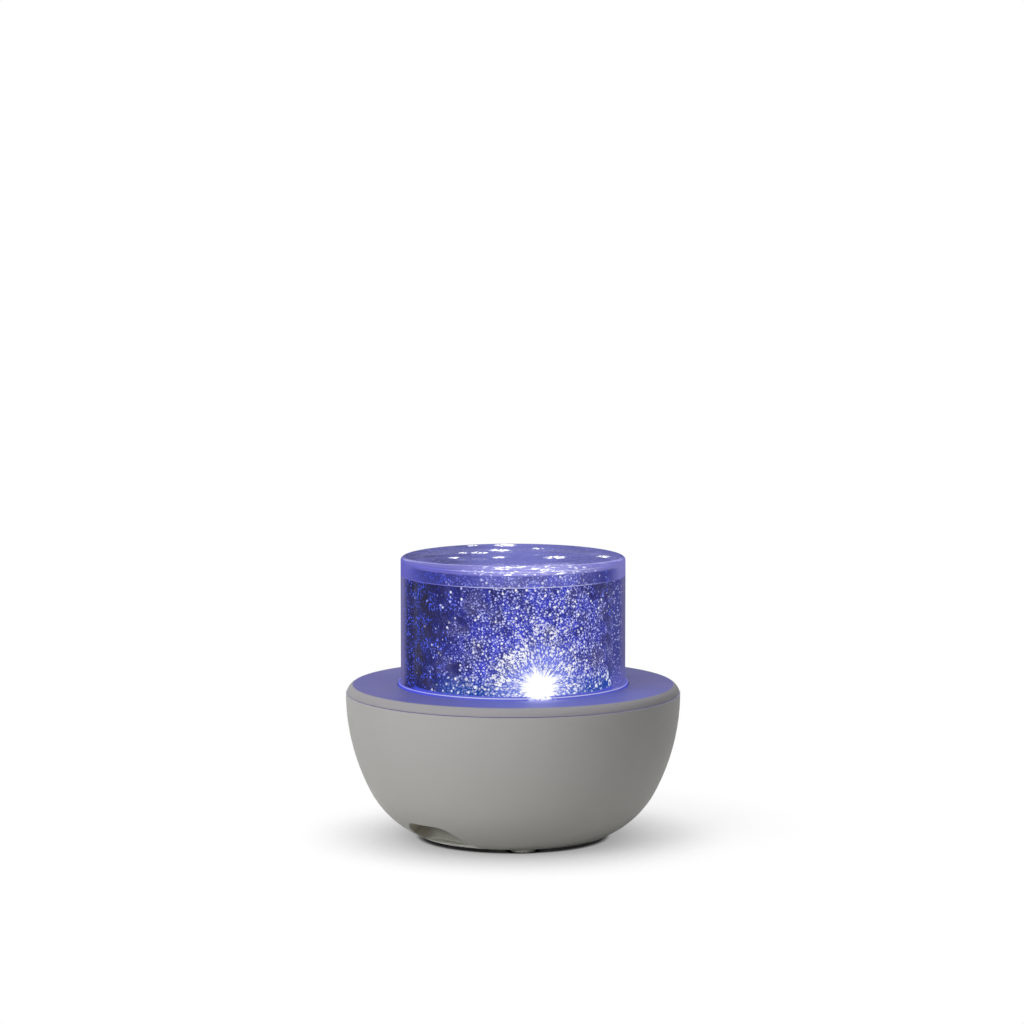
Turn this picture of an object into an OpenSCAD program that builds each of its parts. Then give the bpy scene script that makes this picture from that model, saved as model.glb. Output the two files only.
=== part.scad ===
// Star night light projector: a bowl-shaped base with a motor-driven film drum under a clear cover.
// Units are millimetres. +Z is up, the origin is on the table under the drum's axis, the front is -Y.

/* [Bowl] */
// Widest diameter of the bowl-shaped base
body_d = 120; // [117:0.5:124]
// Height of the deck above the underside of the bowl
deck_h = 54.2; // [52.6:0.2:56.4]
// Diameter of the flat underside
underside_d = 67; // [64:0.5:69]
// Radius of the gentle upper flank
flank_r = 76; // [73:0.5:80]
// Angle that the upper flank sweeps before the tighter belly starts
flank_angle = 27.4; // [25:0.2:29]
// Rounding between the belly and the underside
heel_r = 2; // [1:0.25:3]
// Wall thickness of the bowl
shell_t = 2.2; // [1.8:0.1:2.6]
// Thickness of the bowl's floor
floor_t = 2.2; // [1.8:0.1:2.8]

/* [Finger scoop] */
// Angle of the scoop, to the left of the front
scoop_turn = 43; // [36:1:50]
// Width of the scoop
scoop_w = 24.4; // [24:0.4:31]
// Height of the scoop's ceiling above the underside
scoop_h = 8.8; // [7.6:0.2:10]
// Rounding of the scoop's two upper corners
scoop_corner_r = 6.6; // [4:0.2:7]
// Distance of the scoop's back wall from the drum's axis
scoop_back = 32.6; // [31.6:0.2:34]
// Height of the scoop's floor above the underside
scoop_floor = 1.5; // [0.6:0.1:1.8]

/* [Deck] */
// Width of the deck, from its widest line in to the turntable's edge
deck_ring_w = 18.8; // [18.6:0.05:19]
// Thickness of the deck
deck_t = 2.2; // [1.8:0.1:2.6]
// Width of the shoulder between the flat deck and the bowl
shoulder_w = 2.4; // [1.8:0.1:3]
// Rounding of the shoulder
shoulder_r = 4; // [3.6:0.1:6]
// Depth of the widest line below the deck
seam_drop = 3; // [2.8:0.1:3.4]
// Height of the shadow gap between deck and bowl
seam_gap = 0.3; // [0.2:0.05:0.5]
// How far the deck's skirt rim stands back from the bowl's rim
seam_step = 0.3; // [0.1:0.05:0.5]
// Depth of the lip that locates the deck inside the bowl
lip_h = 3.5; // [2.5:0.25:5]
// Thickness of that lip
lip_t = 1.8; // [1.4:0.1:2.2]

/* [Feet and case screws] */
// Diameter of the circle of feet, which also holds the case screws
foot_circle_d = 56.8; // [55:0.2:57]
// Angle of the first foot, to the right of the front
foot_turn = 7; // [4:0.5:10]
// Diameter of a foot
foot_d = 8.8; // [8:0.2:9.4]
// Height of a foot below the bowl
foot_h = 1.2; // [1:0.1:2]
// Depth of the pocket that a foot sits in
foot_pocket = 0.8; // [0.5:0.1:1]
// Length of the plug on a foot
foot_plug = 3; // [2:0.25:5]
// Outer diameter of a screw pillar
pillar_d = 9.2; // [8.6:0.1:9.4]
// Diameter of the well that takes a case screw's head
well_d = 6.2; // [6:0.1:6.6]
// Height of the bowl's pillars above the underside
pillar_h = 22.8; // [21:0.2:25]
// Thickness of the web under a case screw's head
pillar_web = 4; // [3:0.25:5]
// Diameter of a case screw
case_screw_d = 3; // [2.6:0.1:3.2]
// Length of a case screw under its head
case_screw_l = 16; // [13:0.5:18]

/* [Chassis] */
// Depth of the chassis plate's top below the deck
chassis_drop = 10.5; // [10:0.1:11.2]
// Thickness of the chassis plate
chassis_t = 2; // [1.6:0.1:2.5]
// Gap between the chassis plate's edge and the bowl's wall
chassis_gap = 5.2; // [4.4:0.1:6]
// Distance of the deck bosses in from the flat deck's edge
boss_inset = 9.6; // [9.2:0.1:10]
// Diameter of a deck boss
boss_d = 6.4; // [6:0.1:6.8]
// Diameter of a chassis boss over a bowl pillar
chassis_boss_d = 7.2; // [6.8:0.1:8]
// Outer diameter of the collar that the turntable runs on
collar_d = 34; // [33.4:0.1:34.6]
// Wall of the collar
collar_t = 1.6; // [1.4:0.1:1.8]
// Gap between the collar's top and the deck's level
collar_gap = 1; // [0.6:0.1:1.5]
// Height of the seat under the thrust washer
seat_h = 0.5; // [0.4:0.1:0.8]
// Thickness of the thrust washer
washer_t = 0.5; // [0.4:0.1:0.8]
// Diameter of the small screws of the chassis, motor and boards
small_screw_d = 2; // [1.8:0.1:2.2]

/* [Turntable and gears] */
// Thickness of the turntable's plate
turntable_t = 2.4; // [2:0.1:2.8]
// Depth of the groove that takes the clear cover
groove_depth = 1.3; // [1:0.1:1.5]
// Height of the seat that the film roll stands on
film_seat_h = 0.8; // [0.5:0.1:1.2]
// Height of the ring that centres the film roll
film_guide_h = 2.6; // [2:0.1:4]
// Wall of that ring
film_guide_t = 1.2; // [1:0.1:1.6]
// Wall of the turntable's hub
hub_t = 2.45; // [2.2:0.05:2.8]
// Gear module of turntable and pinion
gear_module = 0.8; // [0.78:0.01:0.82]
// Teeth on the turntable
ring_teeth = 60; // [60:1:61]
// Teeth on the pinion
pinion_teeth = 18; // [17:1:19]
// Width of the turntable's gear
gear_w = 5; // [4.6:0.1:5.4]
// Play between the teeth, along the pitch circle
backlash = 0.16; // [0.12:0.01:0.25]
// Direction of the motor seen from the axis, from +X
motor_turn = 97; // [92:1:102]

/* [Motor] */
// Diameter of the motor's can
motor_d = 28; // [27:0.5:28.5]
// Height of the motor's can
motor_h = 19; // [16:0.5:19.5]
// Distance between the can's axis and the shaft
shaft_offset = 8; // [7.6:0.1:8.4]
// Diameter of the shaft
shaft_d = 5; // [4.6:0.1:5.2]
// Distance between the two screw ears
ear_span = 35; // [34:0.5:36]
// Thickness of the ears
ear_t = 0.8; // [0.6:0.1:1.2]
// Diameter of the boss round the shaft
motor_boss_d = 9; // [8.6:0.1:9.4]
// Height of that boss
motor_boss_h = 1.5; // [1.2:0.1:1.7]

/* [Lamp] */
// Gap between the lamp post and the collar
post_gap = 0.4; // [0.3:0.05:0.6]
// Wall of the lamp post
post_t = 2; // [1.6:0.1:2.4]
// Depth of the lamp board's top below the deck
lamp_drop = 0.5; // [0.3:0.1:0.8]
// Thickness of the lamp board
lamp_board_t = 1; // [0.8:0.1:1.6]
// Number of lamps
lamp_count = 6; // [3:1:8]
// Distance of the lamps in from the lamp board's edge
lamp_margin = 2.7; // [2.5:0.1:4]
// Direction of the first lamp, from +X
lamp_turn = -30; // [-60:5:0]
// Side of a lamp's square body
lamp_side = 2.6; // [2.2:0.1:3]
// Height of a lamp's body
lamp_h = 0.9; // [0.7:0.1:1.2]
// Radius of the clear dome on a lamp
lamp_dome_r = 0.9; // [0.7:0.05:1.05]

/* [Clear cover] */
// How far the outside of cover and lid stands in from the turntable's edge
cover_step = 0.95; // [0.8:0.05:1.2]
// Wall of the clear cover
cover_t = 1.8; // [1.5:0.1:1.9]
// Height of the line where cover and lid meet, above the deck
cover_h = 39.5; // [37:0.5:43]
// How far the cover's foot flange stands in from the turntable's edge
flange_step = 0.1; // [0.05:0.05:0.3]
// Thickness of the foot flange
flange_t = 0.9; // [0.7:0.1:1.2]
// Radius of the flare from flange to wall
flare_r = 0.7; // [0.4:0.05:0.8]
// Depth of the spigot below the flange
spigot_h = 1.2; // [0.8:0.1:1.25]

/* [Clear lid] */
// Height of the lid above the joint line
lid_h = 6.4; // [5.4:0.1:7]
// Thickness of the lid's top
lid_top_t = 2; // [1.6:0.1:2.2]
// Rounding of the lid's top edge
lid_edge_r = 1.2; // [0.6:0.1:1.5]
// Height of the overlap between cover and lid
lap_h = 2; // [1.5:0.1:2.4]
// Thickness of the cover's part of that overlap
lap_t = 0.85; // [0.7:0.05:0.9]

/* [Films] */
// Gap between the film roll and the cover's wall
film_side_gap = 1.85; // [1.6:0.05:2.1]
// Thickness of the films
film_t = 0.3; // [0.25:0.05:0.5]
// Gap between the film disc and the lid
film_gap = 0.4; // [0.3:0.05:0.6]

/* [Buttons] */
// Distance of the buttons in from the flat deck's edge
button_inset = 7.6; // [7.3:0.1:7.9]
// Angle between two buttons
button_step = 24; // [22:0.5:26]
// Diameter of a button cap
button_d = 9; // [8.4:0.1:9.2]
// Height of a cap above the deck
button_rise = 0.9; // [0.6:0.1:1.4]
// Rounding of a cap's edge
button_edge_r = 0.5; // [0.3:0.05:0.6]
// Diameter of the stop flange under a cap
button_flange_d = 10.8; // [10.4:0.1:11.2]
// Thickness of the stop flange
button_flange_t = 0.8; // [0.6:0.1:0.9]
// Length of the peg under the flange
button_peg_h = 0.5; // [0.4:0.05:0.6]
// Side of a switch housing
switch_side = 6; // [5.6:0.1:6.4]
// Height of a switch housing
switch_h = 3.5; // [3.3:0.1:3.6]
// Diameter of a switch's plunger
plunger_d = 3.5; // [3.2:0.1:3.6]
// Length of a plunger above its housing
plunger_rise = 1; // [0.9:0.05:1.2]
// Length of a plunger inside its housing
plunger_in = 1.4; // [1.2:0.1:1.6]
// Depth of the hole for the plunger
plunger_hole = 2.4; // [2.2:0.1:2.6]

/* [Boards] */
// Thickness of the circuit boards
board_t = 1.6; // [1.5:0.1:1.7]
// Width of the main board
main_w = 32; // [31:0.5:33]
// Length of the main board, without the tongue under the socket
main_l = 30.4; // [29.8:0.1:31]
// Width of that tongue
tongue_w = 10; // [9:0.5:11]
// Length of that tongue
tongue_l = 3.1; // [2.6:0.1:3.4]
// Height of the main board above the bowl's floor
main_rise = 5.6; // [5.2:0.1:6.2]
// Diameter of the posts under the boards
board_post_d = 5.6; // [5:0.1:6]
// Distance between the edge of the main board and its screws
main_inset = 3.6; // [3.2:0.1:4]
// Width of the button board, across the ring
button_board_w = 9.6; // [9:0.1:10]

/* [USB inlet] */
// Width of the socket's shell
usb_w = 8.94; // [8.9:0.02:9]
// Height of the socket's shell
usb_h = 3.2; // [3.16:0.02:3.26]
// Length of the socket's shell
usb_l = 9; // [8.6:0.1:9.2]
// Sheet thickness of the socket's shell
usb_t = 0.3; // [0.25:0.05:0.4]
// How far the socket's mouth lies behind the floor of the plug's recess
usb_set_back = 0.2; // [0.15:0.05:0.4]
// How far the socket reaches past the main board's rear edge
usb_overhang = 7.6; // [7.2:0.1:8]
// Width of the recess for the plug's grip
plug_recess_w = 13.6; // [13:0.2:14.4]
// Height of the recess for the plug's grip
plug_recess_h = 8; // [7.6:0.1:8.4]
// Depth of that recess at the socket's height
recess_depth = 1.95; // [1.8:0.05:2.2]

/* [Battery] */
// Diameter of the battery cell
cell_d = 18.4; // [18:0.1:18.5]
// Length of the battery cell
cell_l = 65.2; // [64:0.2:66]
// Distance of the cell in front of the axis
cell_front = 3.4; // [3.3:0.05:3.6]
// Height of the holder above the bowl's floor
holder_rise = 3.6; // [3.4:0.1:4.4]
// Room for the contacts at the two ends of the cell together
holder_room = 4.8; // [3.8:0.2:5.2]
// Width of the holder
holder_w = 19.2; // [18.8:0.1:19.3]
// Wall of the holder
holder_t = 1.5; // [1.2:0.1:1.8]
// Height of the holder's end walls above its floor
holder_end_h = 14; // [12:0.5:16]

/* [Screw grips] */
// Length of thread in a deck boss
boss_grip = 5.5; // [4.5:0.25:6.5]
// Length of thread in the motor's bosses, over the chassis plate
motor_grip = 1.2; // [1:0.1:1.6]
// Length of thread in the lamp post's floor
lamp_grip = 1.8; // [1.5:0.1:2]
// Length of thread in a post of the main board
board_grip = 3; // [2.5:0.25:3.5]
// Length of thread in a post of the button board
button_grip = 2.2; // [1.8:0.1:2.6]
// Free depth past the end of a screw
screw_room = 1; // [0.8:0.1:1.2]

/* [Leads] */
// Diameter of the inner leads
lead_d = 1.8; // [1.4:0.1:2]

/* [Fits] */
// Radial running clearance of shafts in their bores
running_gap = 0.05; // [0.03:0.01:0.08]
// Radial gap of sliding pieces that come off by hand
slip_gap = 0.1; // [0.08:0.01:0.15]
// Gap between pieces that are assembled once
assembly_gap = 0.15; // [0.1:0.01:0.2]
// Gap between turning and fixed pieces
turning_gap = 0.3; // [0.2:0.05:0.35]
// Radial gap between a screw and its thread hole
thread_gap = 0.02; // [0.01:0.01:0.04]

/* [Hidden] */
$fn = 96;
// A little more than nothing, so that cuts run past faces
cut = 0.1;

// Heights
under_z = foot_h;
floor_z = under_z + floor_t;
deck_z = under_z + deck_h;
deck_low_z = deck_z - deck_t;
seam_z = deck_z - seam_drop;
chassis_top_z = deck_z - chassis_drop;
chassis_low_z = chassis_top_z - chassis_t;
pillar_top_z = under_z + pillar_h;
screw_seat_z = pillar_top_z - pillar_web;
washer_z = chassis_top_z + seat_h;
hub_low_z = washer_z + washer_t;
turntable_low_z = deck_z - turntable_t;
joint_z = deck_z + cover_h;
lid_top_z = joint_z + lid_h;
lid_low_z = lid_top_z - lid_top_t;
film_low_z = deck_z + film_seat_h;
film_disc_z = lid_low_z - film_gap - film_t;
main_z = floor_z + main_rise;
main_top_z = main_z + board_t;
usb_z = main_top_z + usb_h / 2;
holder_z = floor_z + holder_rise;
holder_floor_z = holder_z + holder_t;
holder_l = cell_l + holder_room + 2 * holder_t;
cell_z = holder_floor_z + cell_d / 2 + assembly_gap;

// Outline of the bowl: a gentle flank arc, a tighter belly arc, a small heel arc
body_r = body_d / 2;
bowl_h = seam_z - under_z;
flank_x = body_r - flank_r;
edge_x = underside_d / 2 - flank_x;
belly_shift = (edge_x * edge_x + bowl_h * bowl_h - flank_r * flank_r)
    / (2 * (edge_x * cos(flank_angle) + bowl_h * sin(flank_angle) - flank_r));
belly_r = flank_r - belly_shift;
belly_x = flank_x + belly_shift * cos(flank_angle);
belly_z = seam_z - belly_shift * sin(flank_angle);
heel_z = under_z + heel_r;
heel_x = belly_x + sqrt(pow(belly_r - heel_r, 2) - pow(belly_z - heel_z, 2));
heel_meet_z = belly_z - belly_r * (belly_z - heel_z) / (belly_r - heel_r);
function flank_meet_z(inset) = seam_z - (flank_r - inset) * sin(flank_angle);

// Radii
deck_flat_r = body_r - shoulder_w;
// Radius of the bowl's wall at height z, inset from its outside
function wall_r(z, inset) = z > flank_meet_z(inset)
    ? flank_x + sqrt(pow(flank_r - inset, 2) - pow(seam_z - z, 2))
    : belly_x + sqrt(pow(belly_r - inset, 2) - pow(belly_z - z, 2));
skirt_r = body_r - seam_step;
bowl_inner_r = body_r - shell_t;
turntable_r = body_r - deck_ring_w;
well_r = turntable_r + turning_gap;
collar_r = collar_d / 2;
hub_r = collar_r + running_gap + hub_t;
post_r = collar_r - collar_t - post_gap;
flange_r = turntable_r - flange_step;
cover_r = turntable_r - cover_step;
cover_inner_r = cover_r - cover_t;
lap_r = cover_inner_r + lap_t;
film_r = cover_inner_r - film_side_gap;
film_inner_r = film_r - film_t;
foot_r = foot_d / 2;
chassis_r = wall_r(chassis_low_z, shell_t) - chassis_gap;
boss_at = deck_flat_r - boss_inset;
button_at = deck_flat_r - button_inset;

// Gears
pressure_angle = 20;
ring_pitch_r = gear_module * ring_teeth / 2;
pinion_pitch_r = gear_module * pinion_teeth / 2;
shaft_at = ring_pitch_r + pinion_pitch_r;
gear_side_gap = 0.2;
pinion_hub_h = 0.8;
pinion_hub_r = shaft_d / 2 + 1.9;
shaft_top_gap = 1.6;

// Angles, from +X
front = -90;
foot_angles = [for (i = [0:2]) front + foot_turn + 120 * i];
boss_angles = [20, 160, 270];
button_angles = [90 + button_step, 90, 90 - button_step];
lamp_screw_angles = [7, 187];
button_post_angles = [90 - button_step / 2, 90 + button_step / 2];

// Screws
small_head_d = 1.9 * small_screw_d;
small_head_h = 0.65 * small_screw_d;
case_head_d = well_d - 0.6;
case_head_h = 2;
chassis_screw_l = chassis_t + boss_grip;
motor_screw_l = ear_t + chassis_t + motor_grip;
lamp_screw_l = chassis_t + lamp_grip;
board_screw_l = board_t + board_grip;
button_screw_l = board_t + button_grip;
lamp_screw_at = 8;
post_floor_t = 2;
post_lip_t = 0.8;
wire_hole_r = 4;
motor_boss_gap = 0.5;

// Deck
hole_rim_t = 1.4;
lip_r = bowl_inner_r - assembly_gap;
// The shoulder's arc runs from the flat deck to the skirt's rim
shoulder_chord = [skirt_r - deck_flat_r, seam_z + seam_gap - deck_z];
shoulder_mid = [deck_flat_r, deck_z] + shoulder_chord / 2;
shoulder_arm = sqrt(pow(shoulder_r, 2) - pow(norm(shoulder_chord) / 2, 2));
shoulder_x = shoulder_mid[0] + shoulder_arm * shoulder_chord[1] / norm(shoulder_chord);
shoulder_z = shoulder_mid[1] - shoulder_arm * shoulder_chord[0] / norm(shoulder_chord);

// Feet
foot_edge_r = 0.2;
foot_plug_r = well_d / 2 - slip_gap;

// Motor, shaft and pinion
motor_screw_at = ear_span / 2;
ear_r = 3.5;
motor_screw_boss_d = small_screw_d + 2.4;
shaft_reach = 2.5;
shaft_low_z = chassis_low_z - shaft_reach;
pinion_z = hub_low_z + gear_side_gap;
pinion_w = gear_w - 2 * gear_side_gap;
shaft_top_z = turntable_low_z - shaft_top_gap;
flat_depth = 0.5;
// Block on the can's side that the motor's lead comes out of
lead_block = [14, 6, 13];
lead_block_out = 1.6;
lead_block_z = chassis_low_z - motor_h + 1;

// Lamp
lamp_top_z = deck_z - lamp_drop;
lamp_board_z = lamp_top_z - lamp_board_t;
lamp_board_r = post_r - post_lip_t;
lamp_at = lamp_board_r - lamp_margin;

// Buttons and their switches
flange_top_z = deck_low_z;
peg_low_z = flange_top_z - button_flange_t - button_peg_h;
switch_top_z = peg_low_z - plunger_rise;
button_board_z = switch_top_z - switch_h - board_t;
board_reach = 1.6 * button_step;
button_plug_at = 90 + 1.35 * button_step;
button_plug_size = [3.8, 4.4, 3];

// Main board and what is on it
recess_at = wall_r(usb_z, 0) - recess_depth;
usb_mouth = recess_at - usb_set_back;
main_rear = usb_mouth - usb_overhang;
main_front = main_rear - main_l;
main_half = main_w / 2;
main_screw_x = main_half - main_inset;
main_screw_y = [main_front + main_inset, main_rear - main_inset - 1];
plug_size = [6, 4.2, 4];
plug_x = [-10.4, -3.4, 3.4, 10.4];
plug_y = main_front + 10;
plug_top_z = main_top_z + plug_size[2];
parts_y = plug_y + 6;
chip_size = [6, 10, 1.6];
coil_size = [6, 6, 3];
can_d = 5;
can_h = 6.5;

// Inlet
recess_corner_r = 2.5;
tongue_size = [6.6, 0.7];
tongue_root = 1;
socket_floor = 2;

// Battery
holder_post_x = 27;
holder_post_r = 2.6;
holder_pin_r = 1.3;
cradle_t = 3.4;
cradle_h = 6;
contact_size = [10, 12];
contact_t = 0.4;
contact_nub_d = 4;
cell_nub_d = 6;
cell_nub_h = 1;

// Routes of the inner leads. The lamp's runs down through the post, between motor and battery
lamp_lead_path = [[0, 0, lamp_board_z], [0, 0, chassis_top_z + 3], [0, 0, chassis_low_z - 4],
    [-1, 3.4, chassis_low_z - 9], [-2.6, 7.4, chassis_low_z - 15], [-3.2, 7.8, chassis_low_z - 19],
    [plug_x[1], 12, plug_top_z + 6.4], [plug_x[1], plug_y - 0.6, plug_top_z + 4],
    [plug_x[1], plug_y, plug_top_z + 2.2], [plug_x[1], plug_y, plug_top_z]];
// The motor's starts at the block on the can's side
motor_at = (shaft_at - shaft_offset) * [cos(motor_turn), sin(motor_turn)];
motor_side = [sin(motor_turn), -cos(motor_turn)];
block_face = motor_at + (motor_d / 2 + lead_block_out) * motor_side;
motor_lead_path = [[block_face[0], block_face[1], lead_block_z + 6],
    [block_face[0] + 2 * motor_side[0], block_face[1] + 2 * motor_side[1], lead_block_z + 6],
    [block_face[0] + 2.8, block_face[1] - 1, lead_block_z + 1],
    [13, 20, plug_top_z + 6], [plug_x[3] + 0.2, plug_y, plug_top_z + 4],
    [plug_x[3], plug_y, plug_top_z + 2.2], [plug_x[3], plug_y, plug_top_z]];
// The buttons' runs down through the chassis and inside the bowl's wall
button_lead_top = boss_at * [cos(button_plug_at), sin(button_plug_at)];
button_lead_path = [[button_lead_top[0], button_lead_top[1], button_board_z],
    [button_lead_top[0], button_lead_top[1], chassis_top_z - 1],
    [button_lead_top[0], button_lead_top[1], chassis_low_z - 5],
    [-25, 32, chassis_low_z - 14], [-19, 22, plug_top_z + 6],
    [plug_x[0] - 1, plug_y + 0.6, plug_top_z + 4.4],
    [plug_x[0], plug_y, plug_top_z + 2.2], [plug_x[0], plug_y, plug_top_z]];
// The battery's runs from the end of the holder, behind the cell
holder_corner = [(holder_l - holder_t) / 2, holder_w / 2 - cell_front, holder_z + 10];
battery_lead_path = [holder_corner, holder_corner + [0, 2, 0], holder_corner + [-4, 3.2, 0.6],
    [24, 9.6, holder_z + 11.4], [16, 9.8, holder_z + 12.4], [7, 13, plug_top_z + 6],
    [plug_x[2] + 0.4, plug_y - 0.6, plug_top_z + 4],
    [plug_x[2], plug_y, plug_top_z + 2.2], [plug_x[2], plug_y, plug_top_z]];

// ---------- shared shapes ----------

// Moves its children to radius r in direction a
module polar(a, r) {
    rotate(a) translate([r, 0, 0]) children();
}

// A plain tube standing on z = 0
module tube(outer_r, inner_r, h) {
    difference() {
        cylinder(r = outer_r, h = h);
        translate([0, 0, -cut]) cylinder(r = inner_r, h = h + 2 * cut);
    }
}

// Half of the bowl's outline, moved inwards by inset and filled down to low_z
module bowl_outline(inset, low_z) {
    meet_z = flank_meet_z(inset);
    intersection() {
        translate([flank_x, seam_z]) circle(r = flank_r - inset, $fn = 360);
        translate([0, meet_z]) square([body_d, seam_z - meet_z]);
    }
    intersection() {
        translate([belly_x, belly_z]) circle(r = belly_r - inset, $fn = 360);
        translate([0, low_z]) square([body_d, seam_z - low_z]);
    }
}

// The bowl as a solid body without its hollow
module bowl_body() {
    rotate_extrude($fn = 180) {
        bowl_outline(0, heel_meet_z);
        intersection() {
            translate([heel_x, heel_z]) circle(r = heel_r, $fn = 96);
            translate([heel_x - cut, under_z - cut]) square([2 * heel_r, heel_meet_z - under_z + cut]);
        }
        translate([0, under_z]) square([heel_x, belly_z - under_z]);
    }
}

// A pan-head screw that points up, with its head under z = 0
module pan_screw(d, l, head_d, head_h) {
    difference() {
        union() {
            translate([0, 0, -head_h]) cylinder(d = head_d, h = head_h, $fn = 48);
            translate([0, 0, -head_h / 2]) cylinder(d = d, h = l + head_h / 2, $fn = 48);
        }
        for (turn = [0, 90])
            rotate(turn) translate([0, 0, -head_h])
                cube([0.6 * head_d, 0.16 * head_d, head_h], center = true);
    }
}

// The same screw pointing down, with its head above z = 0
module pan_screw_down(d, l, head_d, head_h) {
    mirror([0, 0, 1]) pan_screw(d, l, head_d, head_h);
}

// A flat plate with rounded corners, standing on z = 0
module rounded_plate(w, l, h, r) {
    linear_extrude(h)
        rounded_rectangle(w, l, r);
}

// A rectangle with rounded corners, centred
module rounded_rectangle(w, l, r) {
    square([w - 2 * r, l], center = true);
    square([w, l - 2 * r], center = true);
    for (x = [-1, 1], y = [-1, 1])
        translate([x * (w / 2 - r), y * (l / 2 - r)]) circle(r = r, $fn = 48);
}

// Angle between the start of an involute and its point at radius r
function involute_angle(r, base_r) =
    r <= base_r ? 0 :
    let (roll = sqrt(pow(r / base_r, 2) - 1)) roll * 180 / PI - atan(roll);

// Outline of a spur gear, with a tooth centred on +X
module spur_outline(teeth) {
    pitch_r = gear_module * teeth / 2;
    base_r = pitch_r * cos(pressure_angle);
    root_r = pitch_r - 1.25 * gear_module;
    tip_r = pitch_r + gear_module;
    start_r = max(root_r, base_r);
    half_pitch = 90 / teeth - backlash / 2 / pitch_r * 180 / PI + involute_angle(pitch_r, base_r);
    radii = concat(root_r < base_r ? [root_r] : [],
        [for (i = [0:3]) start_r + (tip_r - start_r) * i / 3]);
    last = len(radii) - 1;
    polygon([for (tooth = [0:teeth - 1], i = [0:2 * last + 1])
        let (rising = i <= last)
        let (r = radii[rising ? i : 2 * last + 1 - i])
        let (half = half_pitch - involute_angle(r, base_r))
        let (a = tooth * 360 / teeth + (rising ? -half : half))
        r * [cos(a), sin(a)]]);
}

// Spline through the points p, as a list of points
function spline_point(p, i, t) =
    let (a = p[max(i - 1, 0)], b = p[i], c = p[i + 1], d = p[min(i + 2, len(p) - 1)])
    0.5 * (2 * b + (c - a) * t + (2 * a - 5 * b + 4 * c - d) * t * t + (3 * b - a - 3 * c + d) * t * t * t);
function spline(p, steps) =
    concat([for (i = [0:len(p) - 2], k = [0:steps - 1]) spline_point(p, i, k / steps)], [p[len(p) - 1]]);
function unit(v) = v / norm(v);
// One direction across the path for each of its points, carried along without twist
function sides_of(t, i = 0, done = []) =
    i == len(t) ? done :
    let (old = i == 0 ? [1, 0.2, 0.1] : done[i - 1])
    sides_of(t, i + 1, concat(done, [unit(old - (old * t[i]) * t[i])]));

// A round lead along the points p, cut square at both ends
module lead(p) {
    corners = 8;
    path = spline(p, 4);
    last = len(path) - 1;
    dirs = concat([unit(p[1] - p[0])],
        [for (i = [1:last - 1]) unit(path[i + 1] - path[i - 1])],
        [unit(p[len(p) - 1] - p[len(p) - 2])]);
    sides = sides_of(dirs);
    ring_points = [for (i = [0:last], k = [0:corners - 1])
        let (a = k * 360 / corners)
        path[i] + lead_d / 2 * (cos(a) * sides[i] + sin(a) * cross(dirs[i], sides[i]))];
    walls = [for (i = [0:last - 1], k = [0:corners - 1])
        let (n = (k + 1) % corners)
        [i * corners + k, (i + 1) * corners + k, (i + 1) * corners + n, i * corners + n]];
    start = [for (k = [0:corners - 1]) k];
    end = [for (k = [corners - 1:-1:0]) last * corners + k];
    polyhedron(points = ring_points, faces = concat([start, end], walls));
}

// ---------- housing ----------

// The scoop's cutter, larger all round by grow and open to the outside
module scoop_cutter(grow) {
    half_w = scoop_w / 2 + grow;
    corner_r = scoop_corner_r + grow;
    low = under_z + scoop_floor - grow;
    high = under_z + scoop_h + grow;
    deep = scoop_back - grow;
    rotate(front - scoop_turn) intersection() {
        rotate([90, 0, 90]) linear_extrude(body_d) {
            translate([-half_w, low]) square([2 * half_w, high - corner_r - low]);
            translate([-half_w + corner_r, low]) square([2 * (half_w - corner_r), high - low]);
            for (x = [-1, 1])
                translate([x * (half_w - corner_r), high - corner_r]) circle(r = corner_r);
        }
        translate([0, 0, low]) linear_extrude(high - low) {
            translate([deep + corner_r, -half_w]) square([body_d, 2 * half_w]);
            translate([deep, -half_w + corner_r]) square([body_d, 2 * (half_w - corner_r)]);
            for (y = [-1, 1])
                translate([deep + corner_r, y * (half_w - corner_r)]) circle(r = corner_r);
        }
    }
}

module usb_slot(gap, h) {
    rounded_plate(usb_w + 2 * gap, usb_h + 2 * gap, h, usb_h / 2 + gap - 0.02);
}

// Turns a shape drawn upright on z = 0 so that it points to the rear at the socket's height
module at_inlet(y) {
    translate([0, y, usb_z]) rotate([-90, 0, 0]) children();
}

module bowl_shell() {
    color("#a9a9a4")
    difference() {
        bowl_body();
        bowl_cavity();
        scoop_cutter(0);
        at_inlet(usb_mouth - shell_t - usb_l) usb_slot(assembly_gap, body_d);
        at_inlet(recess_at)
            rounded_plate(plug_recess_w, plug_recess_h, body_d, recess_corner_r);
        for (a = foot_angles)
            polar(a, foot_circle_d / 2) screw_well();
        for (x = [-1, 1], y = main_screw_y)
            translate([x * main_screw_x, y, main_z - board_grip - screw_room])
                cylinder(d = small_screw_d + 2 * thread_gap, h = board_grip + screw_room + cut, $fn = 48);
    }
}

// The hollow of the bowl, without the scoop's wall, the inlet's wall, the posts and the pillars
module bowl_cavity() {
    difference() {
        bowl_hollow_cut();
        scoop_cutter(shell_t);
        inlet_boss();
        board_posts();
        holder_posts();
        for (a = foot_angles)
            polar(a, foot_circle_d / 2)
                translate([0, 0, under_z]) cylinder(d = pillar_d, h = pillar_top_z - under_z);
    }
}

// The hollow over the bowl's floor, run past the rim
module bowl_hollow_cut() {
    rotate_extrude($fn = 180) {
        bowl_outline(shell_t, floor_z);
        translate([0, floor_z]) square([belly_x, belly_z - floor_z]);
        translate([0, seam_z - cut]) square([bowl_inner_r, 2 * cut]);
    }
}

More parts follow.
